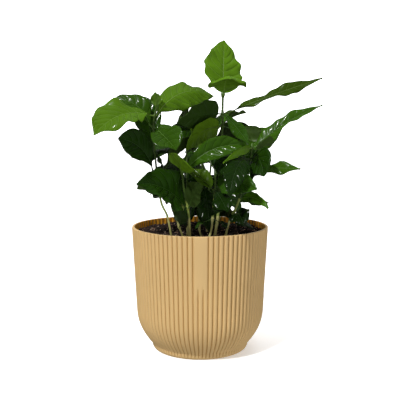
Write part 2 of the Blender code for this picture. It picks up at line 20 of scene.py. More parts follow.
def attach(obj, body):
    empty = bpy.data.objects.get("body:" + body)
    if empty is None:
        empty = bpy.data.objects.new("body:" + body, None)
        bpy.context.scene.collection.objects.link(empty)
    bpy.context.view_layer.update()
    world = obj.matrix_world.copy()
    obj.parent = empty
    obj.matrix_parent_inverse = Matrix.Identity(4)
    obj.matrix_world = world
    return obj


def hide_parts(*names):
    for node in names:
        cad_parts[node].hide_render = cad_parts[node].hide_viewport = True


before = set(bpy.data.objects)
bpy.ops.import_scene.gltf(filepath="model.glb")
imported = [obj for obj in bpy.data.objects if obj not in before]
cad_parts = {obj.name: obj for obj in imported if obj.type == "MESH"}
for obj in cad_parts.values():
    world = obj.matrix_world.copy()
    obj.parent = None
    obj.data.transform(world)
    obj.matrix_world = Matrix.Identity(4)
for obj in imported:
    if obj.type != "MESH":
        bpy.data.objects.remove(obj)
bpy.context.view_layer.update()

LOG = logging.getLogger("coffee_plant")
MM = 0.001
BODY = "root"
SOIL_TOP = 120.5
RIM_HEIGHT = 126.7
RIM_RADIUS = 70.0
WALL_LEAN = 0.051
SHOULDER_HEIGHT = 40.0
FOOT_HEIGHT = 6.2
BOWL_DEPTH = 13.7
BOWL_POWER = 2.15


class Tone(Enum):
    """How old a leaf is, which sets its greens; DARK and SHADED are partly the deep green of old leaves and
    partly painted shade for leaves deep in the plant.
    """
    YOUNG = "young"
    FRESH = "fresh"
    MATURE = "mature"
    DARK = "dark"
    OLIVE = "olive"
    SHADED = "shaded"


@dataclass(frozen=True)
class LeafColours:
    """The three plain colours of a leaf: its face, its underside and its ribs."""
    face: tuple[float, float, float]
    under: tuple[float, float, float]
    rib: tuple[float, float, float]


# DARK and SHADED greens are partly old leaves' own colour and partly painted shade for leaves deep in the
# clump.
TONE_COLOURS = {
    Tone.YOUNG: LeafColours((0.072, 0.160, 0.006), (0.060, 0.130, 0.005), (0.13, 0.23, 0.03)),
    Tone.FRESH: LeafColours((0.034, 0.094, 0.004), (0.045, 0.085, 0.009), (0.06, 0.13, 0.015)),
    Tone.MATURE: LeafColours((0.018, 0.053, 0.003), (0.025, 0.050, 0.006), (0.032, 0.078, 0.01)),
    Tone.DARK: LeafColours((0.007, 0.022, 0.002), (0.010, 0.024, 0.003), (0.013, 0.034, 0.005)),
    Tone.OLIVE: LeafColours((0.050, 0.105, 0.005), (0.062, 0.125, 0.004), (0.08, 0.14, 0.02)),
    Tone.SHADED: LeafColours((0.011, 0.036, 0.002), (0.016, 0.038, 0.004), (0.018, 0.05, 0.006)),
}
TONE_SHADES = (0.86, 1.0, 1.14)
# Stem colours from the foot up: tan, olive, then a darker green. The tan foot is partly the stem's own
# colour and partly painted light, made lighter to stand in for light falling on it.
STEM_COLOURS = (("stem_tan_painted_light", (0.42, 0.41, 0.14)), ("stem_olive", (0.19, 0.24, 0.045)),
                ("stem_green", (0.045, 0.085, 0.010)))


@dataclass(frozen=True)
class Leaf:
    """One leaf: the table gives its first seven sizes by place and the others by name.

    It points along heading and rise, bends down by droop over its length, rolls about its
    midrib and folds up beside it. A shade of 0 is dealt out when the leaf is made.
    """
    heading: float
    rise: float
    length: float
    width: float
    droop: float
    roll: float
    fold: float
    stalk: float = 4.0
    wave: float = 0.6
    fullest: float = 0.34
    drawn: float = 0.0
    tone: Tone = Tone.MATURE
    twist: float = 0.0
    shade: float = 0.0


@dataclass(frozen=True)
class Whorl:
    """The leaves that leave a stem together, at one height."""
    name: str
    height: float
    leaves: tuple[Leaf, ...]


@dataclass(frozen=True)
class SeedlingPlan:
    """One stem: its two radii, the points that it passes, and its whorls."""
    name: str
    foot_radius: float
    tip_radius: float
    path: tuple[tuple[float, float, float], ...]
    whorls: tuple[Whorl, ...]


YOUNG, FRESH, MATURE, DARK, OLIVE, SHADED = Tone
SEEDLINGS = (
    SeedlingPlan("tall", 1.5, 1.1, ((14.5, -33, SOIL_TOP), (18.5, -26, 149), (19.5, -18, 185),
        (22.5, -10, 228), (22.5, -8, 241), (23, -5, 259.5)), (
        Whorl("crown", 259, (
            Leaf(86, 62, 63, 43, 15, 30, 1, stalk=3, wave=1, fullest=0.4, tone=YOUNG, shade=1.15),
            Leaf(-81, 17, 42, 41, 95, 0, -22, wave=1, fullest=0.54, drawn=0.2, tone=YOUNG, shade=1.3))),
        Whorl("spread", 241, (
            Leaf(14, 19, 99, 16, 5, 30, 8, stalk=12, wave=2.6, fullest=0.42, tone=OLIVE, twist=55,
                 shade=0.6),
            Leaf(-69, -25, 62, 13, 10, 40, 4, wave=1.4, fullest=0.58, drawn=0.35, shade=1.15),
            Leaf(-138, -9, 54, 32, 20, 65, -3, tone=SHADED, shade=1.2))),
        Whorl("low", 228, (
            Leaf(1, -14, 34, 16, 5, -80, -1, stalk=7, wave=1.4, fullest=0.66, drawn=0.05, shade=1.9),
            Leaf(-146, -32, 49, 26, 65, 80, -19, stalk=3, wave=1.6, drawn=0.45, tone=OLIVE, shade=1.45))),
    )),
    SeedlingPlan("left", 1, 0.8, ((-28.2, -33, SOIL_TOP), (-32, -34, 141), (-38, -34, 155),
        (-42, -32, 180.6), (-45.5, -28, 228), (-42, -27, 247)), (
        Whorl("bud", 246, (
            Leaf(-100, 80, 13, 11, 10, 0, 20, stalk=3, fullest=0.45, drawn=0.2, tone=YOUNG),
            Leaf(80, 78, 12, 11, 10, 0, 20, stalk=3, fullest=0.45, drawn=0.2, tone=YOUNG))),
        Whorl("crown", 239, (
            Leaf(-137, -16, 71, 44, 60, -25, 10, wave=2, fullest=0.54, drawn=0.35, tone=YOUNG, shade=0.95),
            Leaf(38, 14, 77, 38, 75, 45, -19, fullest=0.52, tone=YOUNG, shade=0.95))),
        Whorl("second", 228, (
            Leaf(167, 33, 46, 24, 80, -45, 10, wave=2.2, fullest=0.5, drawn=0.05, tone=FRESH, shade=0.8),
            Leaf(-62, -23, 49, 33, 10, 25, 27, wave=1.6, fullest=0.62, drawn=0.1, tone=FRESH, shade=0.74))),
        Whorl("third", 204, (
            Leaf(115, 63, 58, 28, 5, -30, 1, stalk=3, wave=1.4, fullest=0.62, drawn=0.05),
            Leaf(-50, -71, 46, 21, 60, -50, -21, stalk=3, wave=1.8, fullest=0.66, drawn=0.5, tone=DARK))),
        Whorl("low", 180.6, (
            Leaf(-152, 43, 53, 30, 80, -75, 6, wave=1, fullest=0.68, drawn=0.25, tone=SHADED, shade=0.95),
            Leaf(16, 45, 50, 22, 15, -40, 20, wave=1, fullest=0.62, drawn=0.3))),
    )),
    SeedlingPlan("middle", 1.35, 0.9, ((-10, -38, SOIL_TOP), (-10.5, -40, 136), (-11.8, -42, 150.3),
        (-15.5, -46, 171), (-17.3, -48, 185.5)), (
        Whorl("crown", 185, (
            Leaf(-94, 31, 30, 29, 10, -35, 5, stalk=5, fullest=0.42, drawn=0.5, tone=OLIVE, shade=1.6),
            Leaf(-1, 23, 64, 22, 60, 80, 24, stalk=3, fullest=0.56, drawn=0.2, tone=FRESH, shade=0.85))),
        Whorl("low", 150.3, (
            Leaf(-137, 23, 65, 43, 55, -60, 14, stalk=3, wave=2.2, drawn=0.2, tone=SHADED, shade=1.05),
            Leaf(-65, 37, 37, 24, 40, -75, -11, stalk=3, wave=0.8, fullest=0.44, drawn=0.05, shade=0.85))),
    )),
    SeedlingPlan("right", 1.2, 0.8, ((24.8, -36, SOIL_TOP), (28.2, -36, 134.7), (37.2, -32, 154),
        (45.3, -24, 181), (49.9, -20, 196.5), (51.5, -18, 208)), (
        Whorl("crown", 207, (
            Leaf(4, 31, 77, 18, 25, 30, 27, wave=0.8, drawn=0.2, tone=FRESH, twist=35, shade=1),
            Leaf(-125, -14, 50, 10, 30, 80, -26, stalk=3, drawn=0.05, tone=YOUNG, shade=1.9))),
        Whorl("second", 196.5, (
            Leaf(34, 25, 33, 11, 95, -75, -7, wave=1.6, fullest=0.66, shade=1.5),
            Leaf(-76, -23, 44, 28, 95, 60, 3, stalk=3, fullest=0.62, drawn=0.05, tone=SHADED, shade=0.95),
            Leaf(-112, -29, 69, 23, 80, -25, -2, stalk=3, fullest=0.54, tone=DARK, shade=1))),
        Whorl("low", 186, (
            Leaf(-34, 3, 53, 14, 10, 50, 4, stalk=3, wave=1.6, fullest=0.58, drawn=0.4, tone=FRESH,
                 shade=0.9),
            Leaf(142, 76, 41, 25, 40, 45, -15, stalk=3, wave=1.4, fullest=0.62, drawn=0.15))),
        Whorl("bottom", 158, (
            Leaf(-50, -11, 37, 10, 60, 75, 6, stalk=3, wave=2.2, fullest=0.4, drawn=0.25, tone=FRESH,
                 shade=1.35),
            Leaf(-145, -26, 33, 19, 50, -5, -2, stalk=3, wave=1.4, fullest=0.66, drawn=0.5, tone=DARK))),
        Whorl("seed_leaves", 144, (
            Leaf(-76, -17, 27, 22, 60, 30, 10, stalk=6, wave=2.2, fullest=0.54, drawn=0.05, tone=DARK,
                 shade=0.5),
            Leaf(104, -18, 42, 26, 90, 45, -22, stalk=6, wave=2.2, fullest=0.62, drawn=0.15))),
    )),
    SeedlingPlan("inner", 1, 0.8, ((-12.5, -30, SOIL_TOP), (-13.2, -15, 155), (-13.4, 0, 189),
        (-14, 5, 209)), (
        Whorl("crown", 208, (
            Leaf(-150, -9, 58, 25, 15, 20, -26, stalk=3, wave=1.4, fullest=0.62, drawn=0.05, tone=DARK),
            Leaf(-18, -59, 40, 26, 35, -15, -6, stalk=3, wave=0.8, fullest=0.66, drawn=0.45, tone=OLIVE))),
    )),
    SeedlingPlan("centre", 1.1, 0.8, ((9.1, -36, SOIL_TOP), (11.4, -34, 130), (13.8, -29, 156),
        (15.2, -26, 183), (10.5, -20, 193), (7.9, -14, 205)), (
        Whorl("crown", 204.4, (
            Leaf(-170, 51, 44, 24, 80, -10, -25, stalk=3, fullest=0.5, drawn=0.4, tone=OLIVE),
            Leaf(-65, -29, 49, 21, 50, 40, -18, stalk=3, wave=1.8, fullest=0.52, tone=DARK))),
        Whorl("second", 182.5, (
            Leaf(-45, -13, 49, 32, 5, 75, 17, wave=1.6, drawn=0.1, shade=1.5),)),
        Whorl("low", 166, (
            Leaf(150, 30, 34, 20, 30, -30, 28, stalk=3, wave=0.8, fullest=0.38, drawn=0.05, tone=OLIVE),
            Leaf(-71, -28, 34, 20, 15, 25, -4, stalk=3, wave=1.2, fullest=0.52, drawn=0.5, tone=DARK))),
        Whorl("seed_leaves", 138, (
            Leaf(-160, -35, 12, 10, 40, 0, 14, stalk=6, wave=1, fullest=0.5),
            Leaf(-35, -35, 11, 10, 40, 0, 14, stalk=6, wave=1, fullest=0.5, tone=DARK))),
    )),
    SeedlingPlan("short", 0.9, 0.8, ((1.3, -32, SOIL_TOP), (-1.5, -26, 136), (3.9, -5, 169)), (
        Whorl("crown", 168.5, (
            Leaf(-122, -53, 49, 21, 60, 20, 14, stalk=3, fullest=0.6, drawn=0.1, tone=DARK),
            Leaf(-77, -64, 47, 23, 30, 0, 6, stalk=3, wave=1.6, fullest=0.52, drawn=0.15, tone=DARK))),
    )),
    SeedlingPlan("outer", 0.9, 0.8, ((-16.4, -36, SOIL_TOP), (-21.6, -38, 135), (-27.7, -30, 157)), (
        Whorl("crown", 156.5, (
            Leaf(111, 3, 50, 22, 5, 25, -26, stalk=3, wave=0.8, fullest=0.56, drawn=0.05),
            Leaf(8, 77, 34, 20, 95, 0, 13, stalk=3, wave=1.8, fullest=0.5, drawn=0.05, tone=DARK))),
        Whorl("seed_leaves", 131, (
            Leaf(-71, 70, 17, 18, 15, -55, 1, stalk=5, wave=1, fullest=0.38, drawn=0.3, tone=DARK,
                 shade=1.5),)),
    )),
    SeedlingPlan("rear_tall", 1.1, 0.8, ((7, -4, SOIL_TOP), (9, 4, 160), (12, 10, 200), (13, 14, 222)), (
        Whorl("crown", 221, (
            Leaf(-149, -6, 48, 26, 60, -45, -14, wave=1.8, fullest=0.66, drawn=0.35),
            Leaf(37, 24, 46, 28, 40, -5, 30, wave=1.2, fullest=0.38, drawn=0.15, tone=FRESH))),
        Whorl("second", 203, (
            Leaf(6, 24, 45, 28, 85, -50, 2, wave=0.8, fullest=0.5, drawn=0.05),
            Leaf(-77, -18, 38, 28, 45, 60, 28, wave=2, drawn=0.4, tone=DARK))),
        Whorl("low", 174.7, (
            Leaf(-163, -32, 42, 25, 95, -50, -6, wave=1, fullest=0.36, drawn=0.5, tone=DARK),
            Leaf(-1, 26, 57, 26, 40, 50, 17, wave=1.6, fullest=0.46, drawn=0.2))),
        Whorl("bottom", 152, (
            Leaf(-146, -37, 43, 24, 90, -35, -19, stalk=3, wave=2, fullest=0.56, tone=DARK),
            Leaf(12, -32, 40, 25, 95, 30, 11, stalk=3, wave=1.2, fullest=0.54, drawn=0.15))),
    )),
    SeedlingPlan("rear_middle", 1.1, 0.8, ((0, 12, SOIL_TOP), (-1, 26, 150), (-2, 36, 185),
        (-3, 40, 206)), (
        Whorl("crown", 205, (
            Leaf(150, 25, 56, 27, 15, -35, -10, wave=1.6, tone=FRESH),
            Leaf(-101, -56, 52, 21, 60, -45, -26, wave=1.6, fullest=0.44, drawn=0.1))),
        Whorl("second", 187, (
            Leaf(-131, -4, 56, 21, 20, -45, -26, wave=1.2, drawn=0.5, tone=DARK),
            Leaf(55, -25, 48, 24, 80, 30, 25, wave=0.8, fullest=0.6, drawn=0.15))),
        Whorl("low", 163, (
            Leaf(-35, 3, 45, 26, 25, 45, 26, wave=1.6, fullest=0.36, drawn=0.05, tone=DARK),
            Leaf(98, 27, 45, 28, 45, 30, 26, wave=0.8, drawn=0.4))),
        Whorl("bottom", 146, (
            Leaf(58, -32, 44, 28, 70, -45, 2, stalk=3, wave=1.6, fullest=0.38),
            Leaf(-118, 22, 33, 25, 5, 20, 20, stalk=3, fullest=0.62, tone=DARK))),
    )),
    SeedlingPlan("rear_right", 1.1, 0.8, ((16, 4, SOIL_TOP), (26, 16, 150), (36, 24, 178),
        (40, 27, 200)), (
        Whorl("crown", 199, (
            Leaf(23, 29, 58, 28, 5, 50, -2, drawn=0.25, tone=FRESH),
            Leaf(-130, -47, 34, 20, 65, -45, -23, wave=1.2, fullest=0.48))),
        Whorl("second", 183, (
            Leaf(-60, -5, 45, 28, 30, 50, -13, wave=2.2, fullest=0.4, drawn=0.45, tone=DARK),
            Leaf(128, -54, 44, 28, 5, 35, 30, fullest=0.38, drawn=0.35))),
        Whorl("low", 162, (
            Leaf(35, -19, 53, 22, 5, 45, -17, wave=1.2),)),
        Whorl("bottom", 146, (
            Leaf(133, 21, 58, 25, 40, -35, -14, stalk=3, wave=1.6, fullest=0.38),
            Leaf(-41, -29, 41, 26, 5, -15, -19, stalk=3, fullest=0.64, drawn=0.2, tone=DARK))),
    )),
    SeedlingPlan("rear_left", 1.1, 0.8, ((-12, 4, SOIL_TOP), (-20, 18, 150), (-26, 28, 178),
        (-28, 33, 198)), (
        Whorl("crown", 197, (
            Leaf(129, 10, 43, 28, 20, -45, -9, wave=2.2, fullest=0.66, drawn=0.1),
            Leaf(-12, 76, 58, 25, 30, -10, 1, wave=2, fullest=0.46, drawn=0.15, tone=FRESH))),
        Whorl("second", 182, (
            Leaf(-121, -21, 44, 28, 90, -5, -19, wave=1.8, fullest=0.66, drawn=0.3, tone=DARK),
            Leaf(53, 21, 58, 23, 35, -35, 24, wave=2.2, fullest=0.62, drawn=0.5))),
        Whorl("low", 161, (
            Leaf(-9, -30, 44, 23, 75, -45, -27, wave=1.8, fullest=0.66, tone=DARK),
            Leaf(150, -2, 48, 26, 5, 45, 25, wave=1.4, fullest=0.66, drawn=0.05))),
        Whorl("bottom", 146, (
            Leaf(61, -13, 57, 23, 45, -15, 19, stalk=3, wave=1.4, fullest=0.58, drawn=0.3),
            Leaf(-105, -30, 25, 20, 80, -30, 26, stalk=3, wave=0.8, fullest=0.36, drawn=0.25, tone=DARK))),
    )),
)


@dataclass(frozen=True)
class GrowthRule:
    """The sizes of the rule by which the source grows its stems and leaves."""
    oval_power: float = 0.78
    tip_start: float = 0.7
    waves: float = 2.0
    right_phase: float = 0.45
    stalk_radius: float = 0.8
    collar_clear: float = 0.4
    collar_inset: float = 0.25
    stem_sides: int = 6
    lowest_stalk: float = -60.0
    steepest_stalk: float = 62.0

    def half_width(self, leaf: Leaf, share: np.ndarray) -> np.ndarray:
        """Half of the blade's width along it: oval, with a drawn-out tip.

        Args:
            leaf: The leaf.
            share: Shares of the blade's length, from 0 to 1.

        Returns:
            The half widths in millimetres.
        """
        power = math.log(0.5) / math.log(leaf.fullest)
        body = np.sin(np.pi * np.clip(share, 0.0, 1.0) ** power).clip(0.0, 1.0)
        body = body ** self.oval_power
        pinch = np.clip((share - self.tip_start) / (1.0 - self.tip_start), 0.0, 1.0)
        return 0.5 * leaf.width * body * (1.0 - leaf.drawn * pinch ** 2 * (3.0 - 2.0 * pinch))

    def stalk_pitch(self, leaf: Leaf) -> float:
        """Pitch at which a leaf's stalk leaves its stem."""
        return max(self.lowest_stalk, min(self.steepest_stalk, leaf.rise + 0.5 * leaf.droop))

    def blade_start(self, leaf: Leaf, centre: np.ndarray, stem_radius: float) -> np.ndarray:
        """Where a leaf's blade starts, at the end of its stalk.

        Args:
            leaf: The leaf.
            centre: The stem's centre at the whorl.
            stem_radius: The stem's radius there.

        Returns:
            The point in millimetres.
        """
        pitch = self.stalk_pitch(leaf)
        bore = stem_radius / math.cos(math.pi / self.stem_sides) + self.collar_clear
        lean = self.stalk_radius * abs(math.sin(math.radians(pitch)))
        reach = bore + self.collar_inset + lean
        return (centre + direction(leaf.heading, 0.0) * reach
                + direction(leaf.heading, pitch) * leaf.stalk)


RULE = GrowthRule()


def direction(heading: float, pitch: float | np.ndarray) -> np.ndarray:
    """Unit vectors for one heading, 0 along +X, and one or more pitches above level."""
    turn, tilt = math.radians(heading), np.radians(pitch)
    return np.stack([np.cos(tilt) * math.cos(turn), np.cos(tilt) * math.sin(turn),
                     np.sin(tilt)], axis=-1)


def wall_radius(height: float) -> float:
    """Outer radius of the pot's wall at a height, as the source has it."""
    radius = RIM_RADIUS - WALL_LEAN * (RIM_HEIGHT - height)
    if height < SHOULDER_HEIGHT:
        share = (SHOULDER_HEIGHT - height) / (SHOULDER_HEIGHT - FOOT_HEIGHT)
        radius -= BOWL_DEPTH * share ** BOWL_POWER
    return radius


class MeshBatch:
    """Gathers points, faces and the finish of each face, and joins them into one piece."""

    def __init__(self) -> None:
        """Starts an empty batch."""
        self.points: list[np.ndarray] = []
        self.faces: list[np.ndarray] = []
        self.slots: list[np.ndarray] = []
        self.materials: list[bpy.types.Material] = []
        self.count = 0

    def slot(self, material: bpy.types.Material) -> int:
        """Number of a material's slot in this piece, made on first use."""
        if material not in self.materials:
            self.materials.append(material)
        return self.materials.index(material)

    def add_points(self, points: np.ndarray) -> int:
        """Adds points.

        Args:
            points: An array of shape (n, 3), in millimetres.

        Returns:
            The number of the first added point.
        """
        first = self.count
        self.points.append(points)
        self.count += len(points)
        return first

    def add_faces(self, faces: np.ndarray, material: bpy.types.Material) -> None:
        """Adds faces of three or four corners, all of one material."""
        self.faces.append(faces)
        self.slots.append(np.full(len(faces), self.slot(material), dtype=np.int32))

    def add_grid(self, grid: np.ndarray, material: bpy.types.Material, closed: bool = False,
                 flip: bool = False) -> int:
        """Adds a grid of points with a face in each of its cells.

        Args:
            grid: An array of shape (rows, columns, 3), in millimetres.
            material: The faces' material.
            closed: Whether the last column joins the first.
            flip: Whether the faces look the other way.

        Returns:
            The number of the grid's first point.
        """
        rows, columns = grid.shape[:2]
        first = self.add_points(grid.reshape(-1, 3))
        spans = columns if closed else columns - 1
        row, column = np.meshgrid(np.arange(rows - 1), np.arange(spans), indexing="ij")
        after = (column + 1) % columns
        low, high = first + row * columns, first + (row + 1) * columns
        quads = np.stack([low + column, low + after, high + after, high + column], axis=-1)
        quads = quads.reshape(-1, 4)
        self.add_faces(quads[:, ::-1] if flip else quads, material)
        return first

    def add_fan(self, first: int, count: int, centre: np.ndarray,
                material: bpy.types.Material, flip: bool = False) -> None:
        """Closes a ring of points with triangles round its middle.

        Args:
            first: The number of the ring's first point.
            count: How many points the ring has.
            centre: The middle, in millimetres.
            material: The faces' material.
            flip: Whether the faces look the other way.
        """
        middle = self.add_points(centre[None, :])
        ring = first + np.arange(count)
        fan = np.stack([ring, np.roll(ring, -1), np.full(count, middle)], axis=-1)
        self.add_faces(fan[:, ::-1] if flip else fan, material)

    def build(self, name: str, sharp_angle: float = 50.0) -> bpy.types.Object:
        """Makes the piece.

        Args:
            name: The piece's name.
            sharp_angle: Edges bent by more degrees than this stay sharp.

        Returns:
            The new object, linked to the scene.
        """
        mesh = bpy.data.meshes.new(name)
        points = np.concatenate(self.points) * MM
        faces = [corner for group in self.faces for corner in group.tolist()]
        mesh.from_pydata(points.tolist(), [], faces)
        for material in self.materials:
            mesh.materials.append(material)
        mesh.polygons.foreach_set("material_index", np.concatenate(self.slots))
        mesh.shade_smooth()
        mesh.set_sharp_from_angle(angle=math.radians(sharp_angle))
        mesh.update()
        made = bpy.data.objects.new(name, mesh)
        bpy.context.scene.collection.objects.link(made)
        LOG.info("%s: %d faces", name, len(faces))
        return made


@dataclass(frozen=True)
class Finish:
    """A Principled finish with a soft change of colour, gloss and relief over it."""
    name: str
    colour: tuple[float, float, float]
    roughness: float
    mottle: float
    grain: float
    mottle_scale: float = 60.0
    grain_scale: float = 900.0
    grain_height: float = 0.3 * MM
    roughness_change: float = 0.0
    coat: float = 0.0
    coat_roughness: float = 0.06
    specular: float = 0.5

    def make(self) -> bpy.types.Material:
        """Makes the material with its nodes.

        Returns:
            The new material.
        """
        material = bpy.data.materials.new(self.name)
        material.use_nodes = True
        nodes = material.node_tree.nodes
        links = material.node_tree.links
        shader = nodes["Principled BSDF"]
        shader.inputs["Base Color"].default_value = (*self.colour, 1.0)
        shader.inputs["Roughness"].default_value = self.roughness
        shader.inputs["Coat Weight"].default_value = self.coat
        shader.inputs["Coat Roughness"].default_value = self.coat_roughness
        shader.inputs["Specular IOR Level"].default_value = self.specular
        place = nodes.new("ShaderNodeTexCoord")
        patch = self.noise(material, place, self.mottle_scale, 4.0)
        ramp = nodes.new("ShaderNodeValToRGB")
        for element, position, change in zip(ramp.color_ramp.elements, (0.3, 0.7),
                                             (1.0 - self.mottle, 1.0 + self.mottle)):
            element.position = position
            element.color = (*(value * change for value in self.colour), 1.0)
        links.new(patch.outputs["Fac"], ramp.inputs["Fac"])
        links.new(ramp.outputs["Color"], shader.inputs["Base Color"])
        if self.roughness_change > 0.0:
            patch = self.noise(material, place, 2.5 * self.mottle_scale, 3.0)
            spread = nodes.new("ShaderNodeMapRange")
            spread.inputs["To Min"].default_value = self.roughness - self.roughness_change
            spread.inputs["To Max"].default_value = self.roughness + self.roughness_change
            links.new(patch.outputs["Fac"], spread.inputs["Value"])
            links.new(spread.outputs["Result"], shader.inputs["Roughness"])
        patch = self.noise(material, place, self.grain_scale, 3.0)
        bump = nodes.new("ShaderNodeBump")
        bump.inputs["Strength"].default_value = self.grain
        bump.inputs["Distance"].default_value = self.grain_height
        links.new(patch.outputs["Fac"], bump.inputs["Height"])
        links.new(bump.outputs["Normal"], shader.inputs["Normal"])
        return material

    @staticmethod
    def noise(material: bpy.types.Material, place: bpy.types.Node, scale: float,
              detail: float) -> bpy.types.Node:
        """Adds a noise that lies fixed in the object.

        Args:
            material: The material.
            place: Its texture coordinate node.
            scale: Patches to the metre.
            detail: Octaves of finer noise.

        Returns:
            The noise node.
        """
        patch = material.node_tree.nodes.new("ShaderNodeTexNoise")
        patch.inputs["Scale"].default_value = scale
        patch.inputs["Detail"].default_value = detail
        material.node_tree.links.new(place.outputs["Object"], patch.inputs["Vector"])
        return patch


class Palette:
    """Every leaf finish, made when the first leaf asks for it."""
    TENDER = (Tone.YOUNG, Tone.FRESH, Tone.OLIVE)
    RIB_SHARE = 0.35

    def __init__(self) -> None:
        """Starts with no finish."""
        self.made: dict[str, bpy.types.Material] = {}

    def keep(self, finish: Finish) -> bpy.types.Material:
        """A finish's material, made on first use."""
        if finish.name not in self.made:
            self.made[finish.name] = finish.make()
        return self.made[finish.name]

    def face(self, tone: Tone, shade: float) -> bpy.types.Material:
        """The finish of a leaf's upper face: glossy, and glossier on old leaves.

        Args:
            tone: The leaf's tone.
            shade: How much lighter the leaf is than its tone.

        Returns:
            The material.
        """
        name = "leaf_face_%s_%d" % (tone.value, round(100.0 * shade))
        colour = self.lighter(TONE_COLOURS[tone].face, shade)
        tender = tone in self.TENDER
        return self.keep(Finish(name, colour, 0.24 if tender else 0.18, mottle=0.10, grain=0.10,
                                grain_scale=800.0, roughness_change=0.05,
                                coat=0.10 if tender else 0.26,
                                specular=0.11 if tender else 0.2))

    def under(self, tone: Tone, shade: float) -> bpy.types.Material:
        """The softer finish of a leaf's underside."""
        return self.keep(Finish(
            "leaf_under_%s_%d" % (tone.value, round(100.0 * shade)),
            self.lighter(TONE_COLOURS[tone].under, shade), 0.5, mottle=0.08, grain=0.25,
            grain_scale=700.0, roughness_change=0.05, specular=0.3))

    def vein(self, tone: Tone, shade: float) -> bpy.types.Material:
        """The finish of a leaf's side veins, between its face's colour and its rib's."""
        colours = TONE_COLOURS[tone]
        mixed = tuple((1.0 - self.RIB_SHARE) * face * shade + self.RIB_SHARE * rib
                      for face, rib in zip(colours.face, colours.rib))
        return self.keep(Finish("leaf_vein_%s_%d" % (tone.value, round(100.0 * shade)), mixed,
                                0.3, mottle=0.08, grain=0.1, specular=0.2))

    def rib(self, tone: Tone) -> bpy.types.Material:
        """The finish of a stalk with its midrib."""
        return self.keep(Finish("leaf_rib_" + tone.value, TONE_COLOURS[tone].rib, 0.42,
                                mottle=0.08, grain=0.15, roughness_change=0.04))

    @staticmethod
    def lighter(colour: tuple[float, float, float], shade: float) -> tuple[float, float, float]:
        """A colour, made lighter or darker by a share."""
        return tuple(value * shade for value in colour)


